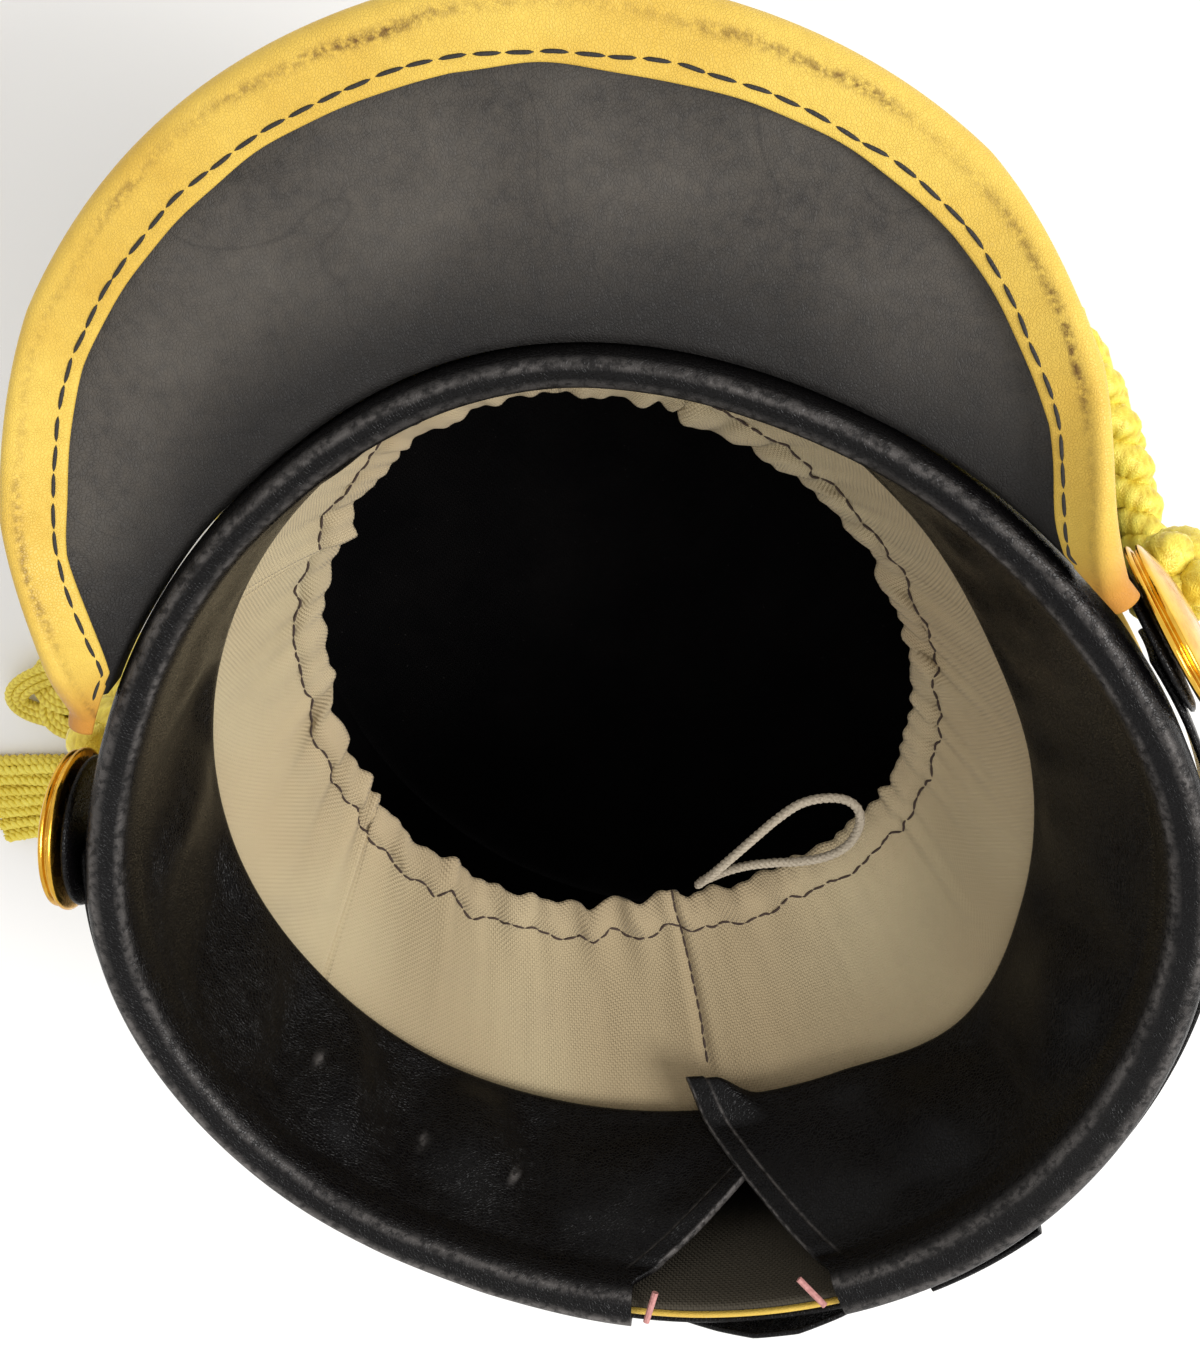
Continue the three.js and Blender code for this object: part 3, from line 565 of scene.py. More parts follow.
gold_vinyl, tree, shader = new_material("gold_vinyl", Specular_IOR_Level=0.35)
where = object_place(tree)
dirt = use(tree, mottle, {"Vector": where, "Size": 38.0, "Low": 0.42, "High": 0.78})[0]
tone = blend_colours(tree, dirt, colour(216, 182, 80), colour(202, 162, 62))
browned = marked(tree, "browned")
tone = blend_colours(tree, browned, tone, colour(186, 126, 44))
soil = marked(tree, "soil")
patchy = use(tree, mottle, {"Vector": where, "Size": 900.0, "Low": 0.36, "High": 0.6})[0]
soiled = math_node(tree, "MULTIPLY", soil, patchy)
tree.links.new(blend_colours(tree, soiled, tone, colour(92, 60, 22)), shader.inputs["Base Color"])
marks = use(tree, grain, {"Vector": where, "Cells": 2300.0, "Creases": 0.4})
tree.links.new(between(tree, marks["Height"], 0.2, 1.6, 0.6, 0.45), shader.inputs["Roughness"])
raise_surface(tree, shader, marks["Height"], 0.00005)
finish_with(band, gold_vinyl, "gold_vinyl", "base_band")

# ---- the visor ----
# A stiff board faced below with matt charcoal sheet, curved round the front of the rim.
VISOR_THICK = 2
VISOR_HALF_ANGLE = 61.6
VISOR_CIRCLE = 92
VISOR = np.array([  # share of the half angle, reach beyond the circle, rise above the rim
    (0, 53.5, 1), (0.25, 49.5, 0), (0.5, 39.5, 0), (0.7, 23.5, 6), (0.85, 7.5, 8), (1, 1.4, -2),
])
PLATE_SHARE = 0.91
FLANGE = 6  # how far the plate's sewn edge turns down outside the roll
TIP_SHARE = 0.98
BINDING_WIDTH = 11
BINDING_THICK = 0.9
BINDING_GAP = 0.5  # between the binding and each face of the plate


def visor_value(share, column):
    """One column of the visor's table at a share of its half angle, by the cubic that the hat's other
    tables use, with the end rows repeated."""
    x = np.minimum(np.abs(share), 1)
    stops = VISOR[:, 0]
    i = np.clip(np.searchsorted(stops, x, side="left") - 1, 0, len(stops) - 2)
    t = (x - stops[i]) / (stops[i + 1] - stops[i])
    values = VISOR[:, column]
    a, b = values[np.maximum(i - 1, 0)], values[i]
    c, d = values[i + 1], values[np.minimum(i + 2, len(stops) - 1)]
    return (b * (2 * t**3 - 3 * t**2 + 1) + (c - a) / 2 * (t**3 - 2 * t**2 + t)
            + c * (3 * t**2 - 2 * t**3) + (d - b) / 2 * (t**3 - t**2))


def visor_line(share):
    """Where the visor starts and the direction it runs in at each share, as distance from the axis and
    height, and its length."""
    bearing = share * VISOR_HALF_ANGLE
    start = np.stack([rim(bearing) + GAP, np.full_like(bearing, HEIGHT - SHELL_DROP - 1.0)], -1)
    end = np.stack([VISOR_CIRCLE + visor_value(share, 1), HEIGHT + visor_value(share, 2)], -1)
    along = unit(end - start)
    return bearing, start, along, np.maximum(np.linalg.norm(end - start, axis=-1), 2)


def clear_of_roll(share, off):
    """How far from the base a face that far off the visor's middle starts, to stay off the roll."""
    along = visor_line(share)[2]
    return off * np.maximum(0, along[:, 1] / along[:, 0]) + 0.2


def on_visor(share, outline):
    """Points of the visor from (..., n, 2) distances from its base and heights off its middle."""
    bearing, start, along, _ = visor_line(share)
    up = np.stack([-along[:, 1], along[:, 0]], -1)
    flat = start[:, None] + outline[..., :1] * along[:, None] + outline[..., 1:] * up[:, None]
    return place(bearing[:, None], flat[..., 0], flat[..., 1])


def unevenness(a, b, seed, shortest, longest, waves=20):
    """Smooth noise over two lengths: the sum of sine waves of random direction, length and phase."""
    draw = np.random.default_rng(seed)
    heading, phase = draw.uniform(0, 2 * np.pi, (2, waves))
    rate = 2 * np.pi / draw.uniform(shortest, longest, waves)
    a, b = np.broadcast_arrays(np.asarray(a, float), np.asarray(b, float))
    turn = a[..., None] * rate * np.cos(heading) + b[..., None] * rate * np.sin(heading) + phase
    return np.sin(turn).sum(-1) / np.sqrt(waves)


share = np.linspace(-PLATE_SHARE, PLATE_SHARE, 260)
length = visor_line(share)[3]
first = clear_of_roll(share, VISOR_THICK / 2)[:, None]
last = length[:, None] - BINDING_THICK - GAP - VISOR_THICK / 2
distance = first + np.linspace(0, 1, 60) * (last - first)
sag = -0.9 * np.sin(np.pi * distance / length[:, None]) ** 2
sag = sag + 0.16 * unevenness(share[:, None] * 100, distance, 8, 14, 50)
along = visor_line(share)[2]
below = np.linspace(FLANGE, FLANGE / 8, 8)
flange = np.stack([first - below * along[:, 1:], sag[:, :1] - below * along[:, :1]], -1)
plate = wall_loop(np.concatenate([flange, np.stack([distance, sag], -1)], 1), VISOR_THICK)
visor = skin("visor_plate", on_visor(share, plate)[None])
# Painted shade: the sheet is painted darker within about 22 mm of its base, next to the roll.
near_rim = eased(plate[..., 0] + 2.5 * unevenness(share[:, None] * 100, plate[..., 0], 15, 30, 90), 22, 3)
mark(visor, "near_rim", (0.85 * near_rim).ravel())

charcoal, tree, shader = new_material("charcoal_sheet", Specular_IOR_Level=0.3)
where = object_place(tree)
cloudy = use(tree, mottle, {"Vector": where, "Size": 42.0, "Low": 0.35, "High": 0.68})[0]
flecks = use(tree, mottle, {"Vector": where, "Size": 520.0, "Low": 0.3, "High": 0.75})[0]
tone = blend_colours(tree, cloudy, colour(50, 47, 44), colour(75, 71, 66))
tone = blend_colours(tree, math_node(tree, "MULTIPLY", flecks, 0.35), tone, colour(98, 91, 82))
# Painted shade: thin dark lines, where a slow noise crosses one value, stand for the shade in creases of the
# sheet.
crease_painted_shade = put(tree, "TexNoise", {"Vector": where, "Scale": 22.0, "Detail": 2.0, "Distortion": 0.5}).outputs[0]
crease_painted_shade = math_node(tree, "ABSOLUTE", math_node(tree, "SUBTRACT", crease_painted_shade, 0.47))
# Painted shade next to the roll: the stored mark takes the colour towards near black.
near_rim = marked(tree, "near_rim")
tone = blend_colours(tree, near_rim, tone, colour(14, 13, 14))
tree.links.new(
    blend_colours(tree, between(tree, crease_painted_shade, 0.0, 0.006, 0.22, 0.0), tone, colour(20, 19, 20)),
    shader.inputs["Base Color"])
tree.links.new(between(tree, flecks, 0.0, 1.0, 0.55, 0.75), shader.inputs["Roughness"])
marks = use(tree, grain, {"Vector": where, "Cells": 1900.0, "Creases": 0.7})
raise_surface(tree, shader, marks["Height"], 0.00006)
finish_with(visor, charcoal, "charcoal_vinyl", "visor")

# ---- the visor's binding ----
# A strip of the gold vinyl folded round the edge and sewn through with black thread; the folds at
# its tips have gone brown, and hands have soiled it along its outer third.
share = np.linspace(-TIP_SHARE, TIP_SHARE, 420)
length = visor_line(share)[3]
half_gap = VISOR_THICK / 2 + BINDING_GAP + BINDING_THICK / 2
leg = np.maximum(clear_of_roll(share, half_gap + BINDING_THICK / 2), length - BINDING_WIDTH)
edge = np.maximum(length, leg + 2)
wander = 0.25 * unevenness(share * 100, 0.0, 3, 6, 30)
leg = leg + BINDING_THICK / 2 + np.where(length > BINDING_WIDTH + 2, wander, 0)
straight = np.linspace(0, 1, 14)
bend = np.radians(np.linspace(90, -90, 13))[1:-1]
bend_at = edge - half_gap - BINDING_THICK / 2
upper = np.stack(np.broadcast_arrays(
    leg[:, None] + (np.maximum(bend_at - leg, 0.2))[:, None] * straight, half_gap), -1)
rounded = np.stack([
    np.maximum(bend_at, leg + 0.2)[:, None] + half_gap * np.cos(bend),
    np.broadcast_to(half_gap * np.sin(bend), (len(share), len(bend))),
], -1)
middle = np.concatenate([upper, rounded, upper[:, ::-1] * (1, -1)], 1)
binding = skin("visor_binding_strip", on_visor(share, wall_loop(middle, BINDING_THICK))[None])
loop = wall_loop(middle, BINDING_THICK)
from_edge = edge[:, None] - loop[..., 0]
arc = share[:, None] * 150
soil = np.exp(-((from_edge - 3.2 - 0.5 * unevenness(arc, 0.0, 4, 12, 50)) / 0.8) ** 2)
soil = soil * (0.25 + 0.75 * eased(unevenness(arc, 0.0, 21, 20, 90), -0.2, 1.2))
mark(binding, "soil", soil.ravel())
tips = eased(np.abs(share), 0.82, 0.97)[:, None] * np.ones(loop.shape[1])
mark(binding, "browned", tips.ravel())
finish_with(binding, gold_vinyl, "gold_vinyl", "visor_binding")

STITCH = 3.9
STITCH_GAP = 0.5
STITCH_INSET = 2.1  # from the binding's inner edge
thread = fibre("black_thread", colour(14, 13, 14), colour(46, 42, 40), 2400.0, Roughness=0.7)


def leg_line(share):
    """How far from the visor's base the binding's inner edge lies."""
    inner_edge = visor_line(share)[3] - BINDING_WIDTH
    return np.maximum(clear_of_roll(share, half_gap + BINDING_THICK / 2), inner_edge)


def sew(name, material, line, radius, long, gap, seed, sides):
    """A line of separate stitches: short bent tubes, thick in the middle and thin at the ends, each a
    little off true."""
    pitch = long + gap
    count = int(length_of(line) / pitch)
    fine = evenly(line, 0.25)
    draw = np.random.default_rng(seed)
    starts = np.arange(count) * pitch + draw.uniform(-0.2, 0.2, count)
    at = np.clip(((starts[:, None] + np.linspace(0, long, 9)) / 0.25).astype(int), 0, len(fine) - 1)
    radii = radius * tapered(9, 3) * np.ones((count, 1))
    piece = skin(name, tubes(fine[at], radii[..., None] * np.ones(sides), sides, (0, 0, 1)))
    finish_with(piece, material, "black_cloth")


share = np.linspace(-0.9, 0.9, 900)
stitch_at = leg_line(share) + STITCH_INSET + 0.14 * unevenness(share * 140, 0.0, 5, 5, 20)
for side, name in ((1, "binding_stitches_below"), (-1, "binding_stitches_above")):
    off = side * (half_gap + BINDING_THICK / 2 + 0.02)
    line = on_visor(share, np.stack([stitch_at, np.full_like(share, off)], -1)[:, None])[:, 0]
    sew(name, thread, line, 0.3, STITCH, STITCH_GAP, 6, 8)

# ---- the sweatband ----
# Black leatherette folded over a reed at the rim, falling inwards to the seam with the lining. Its
# ends meet at the back, where the upper one lies over the lower one and a V stays open above them.
LEATHER = 1.2
SEAM_DROP = 36
SEAM = (83.5, 80.5, 73.5, 68.5, 68.5, 70, 73, 70, 68.5, 69.3, 72, 74.8, 78.2, 80.5, 82, 83)
ENDS = {"right": -170.4, "left": 164.1, "ease": 34, "lean_right": -0.86, "lean_left": 0.56}
OVERLAP_LIFT = 2.8
FULL_ROLL = np.array([  # inset from the rim's outline, drop below the rim, of the middle of the wall
    (1, 11), (1, 8.5), (1, 6), (1.02, 3.8), (1.3, 1.8), (2.6, 0.2), (4, 0), (5.6, 0.6), (7.6, 1.1),
    (9.4, 1.4), (10.8, 2.4), (11.9, 4.6), (12.4, 7.5),
])
SLIM_ROLL = np.array([
    (1, 11), (1, 8.5), (1, 6), (1.02, 3.8), (1.2, 1.8), (1.9, 0.5), (2.7, 0.15), (3.4, 0.25), (4.1, 0.5),
    (4.9, 0.75), (5.7, 1.6), (6.15, 3.8), (6.3, 7.5),
])
FULLNESS = (0, 0.08, 0.35, 0.6, 0.5, 0.3, 0.3, 0.08)  # every 45 degrees, from slim to full
FOLDS = [  # bearing, width in degrees, depth, and how far down the fall it is deepest
    (262, 6, 2.6, 0.6), (243, 4, 2.2, 0.5), (232, 3, -1.6, 0.5), (222, 4, 1.7, 0.45), (211, 5, -1.6, 0.6),
    (202, 3, 1.6, 0.5), (150, 4, 1.5, 0.5), (141, 3, -1.2, 0.55), (128, 5, 1.8, 0.55), (115, 5, -1.6, 0.5),
    (104, 4, 1.5, 0.6), (90, 5, -1.3, 0.5), (76, 5, 1.4, 0.5), (278, 4, -1.8, 0.5), (290, 5, 1.9, 0.6),
]


def cubic_through(rows, count):
    """Points along an open line through the rows of a short table, evenly spaced by length."""
    flat = np.concatenate([rows, np.zeros((len(rows), 1))], 1)
    fine = smooth_route(flat, 0.05)
    return evenly(fine, length_of(fine) / (count - 1))[:, :2]


TAB = {"reach": 5, "over": 9}  # how far the upper end runs in over the lining, and over how many degrees
HEM = {"width": 4.4, "thick": 0.5}
bearings = np.concatenate([
    np.linspace(ENDS["right"], ENDS["right"] + 4, 31)[:-1],
    np.linspace(ENDS["right"] + 4, ENDS["left"] - 4, 560)[:-1],
    np.linspace(ENDS["left"] - 4, ENDS["left"], 31),
])
near_right = 1 - eased(bearings - ENDS["right"], 0, ENDS["ease"])
near_left = 1 - eased(ENDS["left"] - bearings, 0, ENDS["ease"])
lift = OVERLAP_LIFT * eased(near_left, 0, 0.5)


def lean(drop):
    """How far each height of the band's two ends is turned about the axis, in degrees."""
    rate = ENDS["lean_right"] * near_right + ENDS["lean_left"] * near_left
    return np.maximum(0, drop - 4) * rate[:, None]


full_line, slim_line = cubic_through(FULL_ROLL, 36), cubic_through(SLIM_ROLL, 36)
fullness = np.clip(around(FULLNESS, bearings), 0, 1)[:, None]
edge = rim(bearings)[:, None]
roll_inset = slim_line[:, 0] + fullness * (full_line - slim_line)[:, 0]
roll_drop = slim_line[:, 1] + fullness * (full_line - slim_line)[:, 1]
arc = np.radians(bearings)[:, None] * 92
roll_drop = roll_drop + 0.16 * unevenness(arc, roll_inset, 12, 9, 40) * eased(roll_inset, 1.5, 3)
fall = np.linspace(0, 1, 31)[1:]
fall_drop = FULL_ROLL[-1, 1] + (SEAM_DROP - FULL_ROLL[-1, 1]) * fall + 0 * edge
seam = around(SEAM, bearings[:, None] + lean(fall_drop)) - lift[:, None] * eased(fall, 0, 0.4)
tab = TAB["reach"] * eased(bearings, ENDS["left"] - TAB["over"], ENDS["left"] - 0.5 * TAB["over"])[:, None]
seam = seam - tab * eased(fall, 0.82, 1)
start = edge - roll_inset[:, -1:]
fall_radius = start * (1 - fall) + seam * fall
fall_radius = fall_radius - 1.6 * fullness * np.sin(np.pi * fall) ** 2 * eased(fall, 0, 0.3)
turned = np.mod(bearings, 360)[:, None] + lean(fall_drop)
for at, width, depth, deepest in FOLDS:
    along_fall = np.exp(-((fall - deepest) / 0.38) ** 2) * eased(fall, 0, 0.25) * (1 - eased(fall, 0.8, 1))
    fall_radius = fall_radius + depth * along_fall * np.exp(-((turned - at - 6 * fall) / width) ** 2)
free = eased(fall, 0, 0.3) * (1 - eased(fall, 0.9, 1))
fall_radius = fall_radius + 0.3 * unevenness(arc, fall_drop, 31, 12, 45) * free
from_end = np.radians(np.minimum(bearings - ENDS["right"], ENDS["left"] - bearings))[:, None] * 82
hem = 1 - eased(from_end, HEM["width"] - 0.5, HEM["width"] + 0.1)
fall_radius = fall_radius - HEM["thick"] * hem
middle = np.concatenate([
    np.stack([edge - roll_inset, HEIGHT - roll_drop], -1),
    np.stack([fall_radius, HEIGHT - fall_drop], -1),
], 1)
outline = wall_loop(middle, LEATHER)
loop_drop = HEIGHT - outline[..., 1]
loop_inset = edge - outline[..., 0]
loop_lean = lean(loop_drop) * eased(loop_inset, 4.5, 6.5)
leather = place(bearings[:, None] + loop_lean, outline[..., 0], outline[..., 1])
sweatband = skin("sweatband_leather", leather[None])
# Painted highlights: the top of the roll is painted paler along its ridge and at its turn into the fall,
# partly real rubbing too, most at the back towards the wearer's right. The same mark draws pale lines at the
# hem's fold and at the band's cut ends, and three narrow pale streaks down the fall.
across_roll = (loop_inset - 1) / (roll_inset[:, -1:] - 1)
on_top = eased(4 - loop_drop, 0, 2)
ridge_highlight_and_wear = np.exp(-((across_roll - 0.22) / 0.1) ** 2) * on_top
turn_highlight_and_wear = 0.5 * np.exp(-((across_roll - 0.84) / 0.07) ** 2) * on_top
low_rim = eased(np.abs(np.mod(bearings, 360) - 222), 70, 20)[:, None]
ragged = 0.7 + 0.3 * unevenness(arc, loop_inset * 3, 44, 2.5, 18)
worn = (ridge_highlight_and_wear * (0.6 + 0.4 * low_rim) + turn_highlight_and_wear) * np.clip(ragged + 0.25, 0, 1)
pale_streaks = np.zeros_like(worn)
for at, drop in ((241, 22), (222, 20), (204, 19)):
    pale_streaks += np.exp(-(((turned[:, -1:] - at) / 0.45) ** 2)) * np.exp(-(((loop_drop - drop) / 1.4) ** 2))
hem_lines = 0.5 * np.exp(-(((from_end - HEM["width"]) / 0.3) ** 2)) + 0.6 * np.exp(-((from_end / 0.3) ** 2))
worn = worn + hem_lines * eased(loop_drop, 6, 10)
mark(sweatband, "worn", np.clip(worn + 0.6 * pale_streaks, 0, 1).ravel())

black_vinyl, tree, shader = new_material("black_leatherette", Specular_IOR_Level=0.15)
where = object_place(tree)
marks = use(tree, grain, {"Vector": where, "Cells": 1900.0, "Creases": 0.8})
rubbed = use(tree, mottle, {"Vector": where, "Size": 30.0, "Low": 0.35, "High": 0.75})[0]
# Painted highlight, partly real rubbing: the stored mark takes the colour towards pale grey and makes it
# rougher.
wear_and_highlight_here = marked(tree, "worn")
scratchy = use(tree, mottle, {"Vector": where, "Size": 700.0, "Low": 0.35, "High": 0.6})[0]
wear_and_highlight_share = math_node(tree, "MULTIPLY", wear_and_highlight_here, between(tree, scratchy, 0.0, 1.0, 0.15, 0.75))
tone = blend_colours(tree, rubbed, colour(5, 4, 5), colour(10, 9, 9))
tree.links.new(blend_colours(tree, wear_and_highlight_share, tone, colour(126, 121, 118)), shader.inputs["Base Color"])
gloss = between(tree, marks["Height"], 0.2, 1.8, 0.36, 0.24)
roughened = math_node(tree, "ADD", gloss, math_node(tree, "MULTIPLY", wear_and_highlight_share, 0.3))
tree.links.new(roughened, shader.inputs["Roughness"])
raise_surface(tree, shader, marks["Height"], 0.00005)
finish_with(sweatband, black_vinyl, "black_vinyl", "sweatband")

# The cut ends of the reed, wrapped in pink thread, show in the fold of the band at both sides of the V.
reed = fibre("pink_reed", colour(150, 92, 90), colour(206, 150, 144), 1400.0, Roughness=0.7)
for name in ("reed_end_right", "reed_end_left"):
    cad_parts[name].data.materials.clear()
    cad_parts[name].data.materials.append(reed)

# ---- the lining ----
# A strip of cream cotton sewn behind the sweatband and closed at the back by a seam. Its other edge
# is turned over a drawstring and gathered into an uneven round opening.
COTTON = 1
OPENING_DROP = 55
OPENING_CENTRE = np.array([4, -22, 0])
OPENING = (52, 48.2, 49.6, 53, 56.5, 54, 52, 55.4, 56.6, 54.2, 54.6, 54.3)
CHANNEL = 7.6  # width of the turned edge that the drawstring runs in
REAR_SEAM = 178.5


def gathers(bearing, seed, slowest, fastest):
    """Uneven pleats round the opening: sine waves of whole numbers of turns, with random phases."""
    draw = np.random.default_rng(seed)
    counts = np.arange(slowest, fastest)
    size = draw.uniform(0.3, 1, len(counts)) / np.sqrt(len(counts))
    phase = draw.uniform(0, 2 * np.pi, len(counts))
    return (size * np.sin(np.radians(bearing)[..., None] * counts + phase)).sum(-1)


bearings = np.arange(0, 360, 0.5)
share = np.linspace(0, 1, 46)
behind = LEATHER + 3 * GAP
seam = around(SEAM, bearings) + behind
roll_end = rim(bearings) - np.interp(np.clip(around(FULLNESS, bearings), 0, 1), [0, 1], [6.3, 12.4]) + behind
top = place(bearings, seam + (roll_end - seam) * 0.175, HEIGHT - SEAM_DROP + 5.0)
turn = place(bearings, seam, HEIGHT - SEAM_DROP - 2.5)
edge_radius = around(OPENING, bearings) + 0.7 * gathers(bearings, 17, 9, 40)
edge_radius = edge_radius + 0.45 * gathers(bearings, 19, 40, 110)
draw = np.random.default_rng(23)
notch_at, notch_width = draw.uniform(0, 360, 24), draw.uniform(0.6, 2, 24)
apart = np.mod(bearings[:, None] - notch_at + 180, 360) - 180
edge_radius = edge_radius + (draw.uniform(-1.8, 1.6, 24) * np.exp(-((apart / notch_width) ** 2))).sum(-1)
mouth = place(bearings, edge_radius, float(HEIGHT - OPENING_DROP)) + OPENING_CENTRE
first = np.linspace(0, 1, 7)[:-1, None]
down = top[:, None] * (1 - first) + turn[:, None] * first
inward = turn[:, None] * (1 - share[:, None]) + mouth[:, None] * share[:, None]
width = np.linalg.norm(mouth - turn, axis=-1)[:, None]
to_edge = width * (1 - share)
inward[..., 2] -= 2.6 * np.sin(np.pi * np.clip(share, 0, 1)) ** 0.9
pucker = gathers(bearings, 9, 12, 48)[:, None] * eased(share, 0.45, 0.98) * 0.95
pucker = pucker + gathers(bearings, 5, 4, 14)[:, None] * np.sin(np.pi * share) * 1.1
inward[..., 2] += pucker
inward[..., 2] += 1.1 * np.sin(np.pi * np.clip(to_edge / CHANNEL, 0, 1))
pleat = np.exp(-(((bearings[:, None] - REAR_SEAM + 1.5 * share) / 1.1) ** 2))
inward[..., 2] -= 1.4 * pleat * eased(share, 0.0, 0.3)
surface = np.concatenate([down, inward], 1)
round_way = (np.roll(surface, -1, 0) - np.roll(surface, 1, 0))
lining_normal = unit(np.cross(round_way, np.gradient(surface, axis=1)))
lining_normal = lining_normal * np.sign(lining_normal[:, -1:, 2:])
half_cloth = COTTON / 2 * lining_normal
both = np.concatenate([surface + half_cloth, (surface - half_cloth)[:, ::-1]], 1)
lining = skin("lining_cotton", both[None], closed=True)
down_way = np.concatenate([[0], np.cumsum(np.linalg.norm(np.diff(surface, axis=1), axis=-1).mean(0))])
cloth_way = np.stack(np.broadcast_arrays(np.radians(bearings)[:, None] * 62, down_way, 0.0), -1)
mark(lining, "cloth", np.concatenate([cloth_way, cloth_way[:, ::-1]], 1).reshape(-1, 3))
edge_soil = eased(np.concatenate([np.full((len(bearings), 6), 40.0), to_edge], 1), 9, 1)
mark(lining, "soil", np.concatenate([edge_soil, edge_soil[:, ::-1]], 1).ravel())
# Painted shade: the lining is painted darker round the back of the hat, about the bearing 185.
from_rear = np.abs(bearings - 185)[:, None] + 25 * unevenness(bearings[:, None], 0.3 * to_edge, 52, 20, 90)
greyed = np.repeat(eased(from_rear, 75, 15)[:, :1], both.shape[1], 1)
mark(lining, "greyed", 0.75 * greyed.ravel())

cotton, tree, shader = new_material("cream_cotton", Roughness=0.93, Specular_IOR_Level=0.2, Sheen_Weight=0.1)
where = object_place(tree)
cloth = marked(tree, "cloth", "Vector")
threads = use(tree, weave, {"Vector": cloth, "Thread": 0.42})
aged = use(tree, mottle, {"Vector": where, "Size": 14.0, "Low": 0.35, "High": 0.65})[0]
tone = blend_colours(tree, aged, colour(192, 176, 140), colour(182, 160, 124))
spots = use(tree, mottle, {"Vector": where, "Size": 90.0, "Low": 0.55, "High": 0.8})[0]
tone = blend_colours(tree, math_node(tree, "MULTIPLY", spots, 0.4), tone, colour(172, 156, 128))
# Painted shade round the back of the hat.
greyed = marked(tree, "greyed")
tone = blend_colours(tree, greyed, tone, colour(146, 126, 94))
grubby = marked(tree, "soil")
tone = blend_colours(tree, math_node(tree, "MULTIPLY", grubby, 0.3), tone, colour(170, 150, 120))
shaded = math_node(tree, "MULTIPLY", threads[0], 0.12)
tree.links.new(blend_colours(tree, shaded, tone, colour(210, 198, 172)), shader.inputs["Base Color"])
raise_surface(tree, shader, threads[0], 0.00012)
finish_with(lining, cotton, "cotton", "lining")

# One dark brown line of stitching closes the channel, and another runs down the rear seam.
brown_thread = fibre("brown_thread", colour(40, 28, 22), colour(72, 54, 44), 2400.0, Roughness=0.8)


def on_lining(bearing, inside_edge):
    """Points on the lining's upper face at a bearing and a distance from the gathered edge."""
    row = np.mod(np.round(bearing / 0.5).astype(int), len(bearings))
    column = np.array([np.argmin(np.abs(to_edge[r] - d)) for r, d in zip(row, inside_edge)]) + 6
    return surface[row, column] + (COTTON / 2 + 0.05) * lining_normal[row, column]


at = np.arange(0, 360, 1.0)
wobble = CHANNEL + 1.1 * gathers(at, 2, 20, 60) + 0.9 * gathers(at, 3, 5, 20)
line = on_lining(at, wobble)
line = evenly(np.concatenate([line, line[:1]]), 0.8)
sew("channel_stitches", brown_thread, line, 0.26, 2.7, 0.12, 9, 6)
down_seam = np.linspace(0.4, 37, 40)
line = on_lining(np.full(40, REAR_SEAM) + 1.5 * np.linspace(-1, 0, 40), down_seam)
sew("rear_seam_stitches", brown_thread, evenly(line, 0.8), 0.26, 2.4, 0.2, 10, 6)

# The drawstring leaves the channel by the rear seam, makes a loop and goes back in.
DRAWSTRING_ROUTE = [
    (-4.5, 26.6, 91.5), (-7, 24.6, 93.6), (-10.5, 22.6, 95), (-15, 21.2, 96), (-20, 20.8, 96.6),
    (-25.5, 20.8, 97), (-30.5, 20, 97.2), (-34.4, 17.8, 97.4), (-36.8, 14, 97.6), (-37, 10.4, 97.8),
    (-34.9, 7.9, 98), (-31, 7, 98.2), (-26.6, 7.6, 98.4), (-22, 10.2, 98.6), (-17.4, 13.6, 98.8),
    (-12.8, 17.2, 98.8), (-8.4, 21, 98), (-4.4, 25, 95.4),
]
string_cotton = fibre(
    "drawstring_cotton", colour(128, 116, 100), colour(196, 184, 164), 1800.0, 2.0, 0.0003,
    Roughness=0.9, Specular_IOR_Level=0.2,
)
path = smooth_route(DRAWSTRING_ROUTE, 0.4)
string_plies = twisted(path, 0.42, 3.4, 3, (0, 0, 1))
drawstring = skin("drawstring_plies", tubes(string_plies, 0.52 * tapered(len(path), 3)[None, :, None]
                                            * np.ones((3, 1, 8)), 8, (0, 0, 1)))
finish_with(drawstring, string_cotton, "cotton", "drawstring")

# ---- the buttons ----
# Domed gold buttons with a rolled edge, each on a black washer that holds the strap's end.
BUTTON_DROP = 13
STRAP_THICK = 1.2
BUTTON_PROFILE = np.array([  # radius, distance out from the back
    (0.05, 0), (12.6, 0), (13.6, 0.15), (14, 0.45), (14, 0.8), (13.6, 1.1), (13, 1.2), (12.7, 1.45),
    (13, 1.75), (13.5, 2), (13.5, 2.35), (12.9, 2.7), (11.8, 3.15), (10, 3.8), (7.6, 4.4), (5, 4.75),
    (2.4, 4.95), (0.05, 5),
])
WASHER_PROFILE = np.array([
    (0.05, 0), (12, 0), (12.8, 0.2), (13, 0.6), (12.7, 1), (12, 1.3), (8, 1.6), (0.05, 1.8),
])
WASHER_STAND = 1.8
BUTTON_STAND = 3.9
gold_metal, tree, shader = new_material("gold_plate", Metallic=1.0)
where = object_place(tree)
dull = use(tree, mottle, {"Vector": where, "Size": 160.0, "Low": 0.4, "High": 0.75})[0]
tone = blend_colours(tree, dull, colour(232, 184, 74), colour(186, 132, 40))
tree.links.new(tone, shader.inputs["Base Color"])
tree.links.new(between(tree, dull, 0.0, 1.0, 0.16, 0.36), shader.inputs["Roughness"])
scratched = noise(tree, where, 1500.0, 2.0)
raise_surface(tree, shader, scratched, 0.00003)


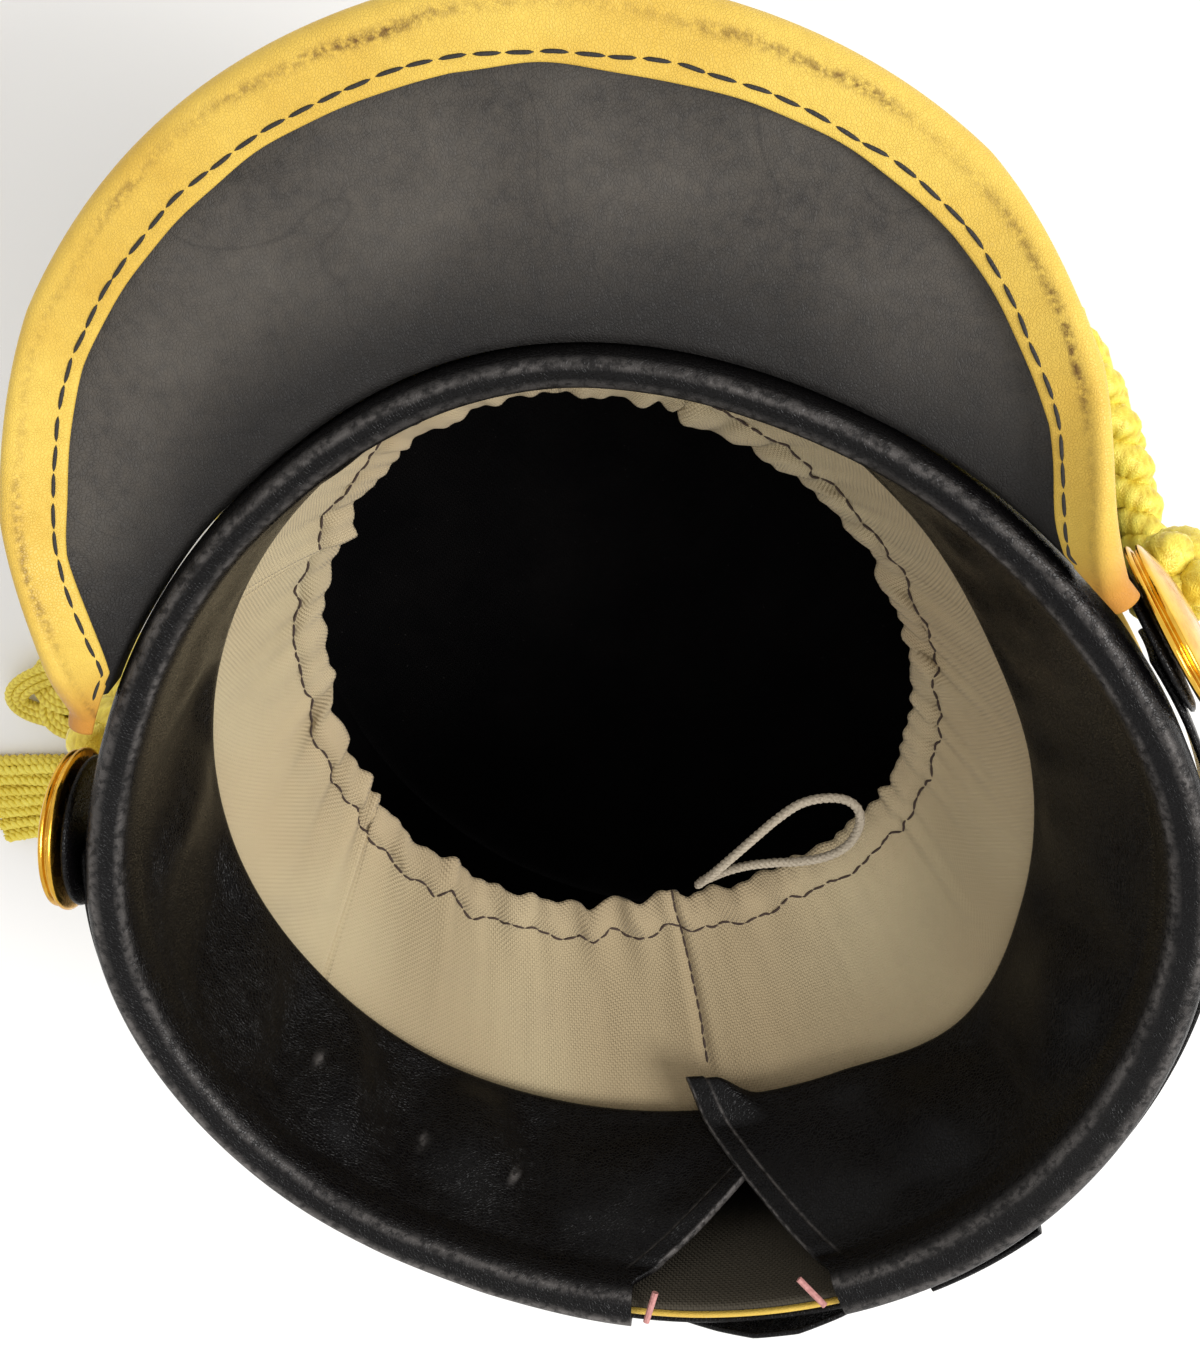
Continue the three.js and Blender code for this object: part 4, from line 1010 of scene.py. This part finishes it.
def turned_form(profile, bearing, stand):
    """A form turned about the line that points outwards at a bearing: each row of the profile is a ring
    of that radius, at that distance out from the stand-off."""
    outward = place(bearing, 1.0, 0.0)
    side, up = np.cross(outward, (0, 0, 1)), np.array([0, 0, 1.0])
    centre = place(bearing, rim(bearing) + stand, float(HEIGHT - BUTTON_DROP))
    angle = (np.arange(64) * 2 * np.pi / 64)[:, None]
    ring = np.cos(angle) * side + np.sin(angle) * up
    return centre + profile[:, 1, None, None] * outward + profile[:, 0, None, None] * ring


for side, bearing in (("right", -77.0), ("left", 68.0)):
    washer = skin(f"leather_washer_{side}", turned_form(WASHER_PROFILE, bearing, WASHER_STAND)[None])
    finish_with(washer, black_vinyl, "black_vinyl", f"washer_{side}")
    button = skin(f"domed_button_{side}", turned_form(BUTTON_PROFILE, bearing, BUTTON_STAND)[None])
    finish_with(button, gold_metal, "gold_metal", f"button_{side}")

# ---- the chin strap ----
# Thin black leatherette from one button round the back to the other, over the skirt of the roll, with
# the twisted ends of its buckle loop and a square keeper behind.
STRAP_WIDTH = 12
STRAP_DROP = 5
TWIST_WIDTH = 8
KEEPER_WIDTH = 13.5


def strap_piece(name, rows, width, thick, node):
    """A flat strip round the hat: rows of bearing, distance out from the rim and height of its middle,
    with a rounded outline across it."""
    rows = np.array(rows, float)
    at = np.linspace(rows[0, 0], rows[-1, 0], max(40, int(abs(rows[-1, 0] - rows[0, 0]) * 1.6)))
    order = np.argsort(rows[:, 0])
    out, height = (np.interp(at, rows[order, 0], rows[order, k]) for k in (1, 2))
    flat = np.linspace(-width / 2 + thick / 2, width / 2 - thick / 2, 9)
    crown_out = 0.25 * np.cos(np.pi * flat / width)
    middle = np.stack([
        rim(at)[:, None] + out[:, None] + thick / 2 + crown_out, height[:, None] + flat], -1)
    outline = wall_loop(middle, thick)
    piece = skin(name, place(at[:, None], outline[..., 0], outline[..., 1])[None])
    return finish_with(piece, black_vinyl, "black_vinyl", node)


strap_middle = HEIGHT - STRAP_DROP - STRAP_WIDTH / 2
strap_piece("strap_band", [
    (68, 0.2, strap_middle), (283, 0.2, strap_middle),
], STRAP_WIDTH, STRAP_THICK, "chin_strap")
strap_piece("strap_twist", [
    (184, 1.9, strap_middle), (180, 3, strap_middle + 1.5), (176, 3.6, strap_middle + 3),
    (171, 3.6, strap_middle + 3), (166, 2.8, strap_middle + 1.5), (162, 1.9, strap_middle),
], TWIST_WIDTH, STRAP_THICK, "strap_buckle")
strap_piece("strap_loop", [
    (155, 1.9, strap_middle), (141, 1.9, strap_middle),
], KEEPER_WIDTH, STRAP_THICK, "strap_keeper")

# ---- the floor and the light ----
# A plain pale table, a bright even room, and one soft lamp above the wearer's left side.
floor_mesh = bpy.data.meshes.new("floor")
floor_mesh.from_pydata([(-3, -3, 0), (3, -3, 0), (3, 3, 0), (-3, 3, 0)], [], [(0, 1, 2, 3)])
floor = bpy.data.objects.new("floor", floor_mesh)
bpy.context.scene.collection.objects.link(floor)
pale, _, _ = new_material("pale_table", Base_Color=colour(240, 239, 238), Roughness=0.6)
floor_mesh.materials.append(pale)

world = bpy.data.worlds.new("room")
bpy.context.scene.world = world
world.use_nodes = True
world.node_tree.nodes["Background"].inputs["Color"].default_value = (1.0, 0.99, 0.97, 1)
world.node_tree.nodes["Background"].inputs["Strength"].default_value = 0.95


def soft_lamp(name, location, size, power):
    """A square area lamp aimed at the hat."""
    data = bpy.data.lights.new(name, "AREA")
    data.size, data.energy = size, power
    lamp = bpy.data.objects.new(name, data)
    bpy.context.scene.collection.objects.link(lamp)
    back = unit(np.array(location, float) - (0, 0, 0.1))
    side = unit(np.cross((0, 0, 1), back))
    lamp.matrix_world = Matrix((
        (side[0], np.cross(back, side)[0], back[0], location[0]),
        (side[1], np.cross(back, side)[1], back[1], location[1]),
        (side[2], np.cross(back, side)[2], back[2], location[2]),
        (0, 0, 0, 1),
    ))


soft_lamp("window", (-0.85, 0.1, 0.95), 0.5, 13)
bpy.context.scene.view_settings.view_transform = "Standard"
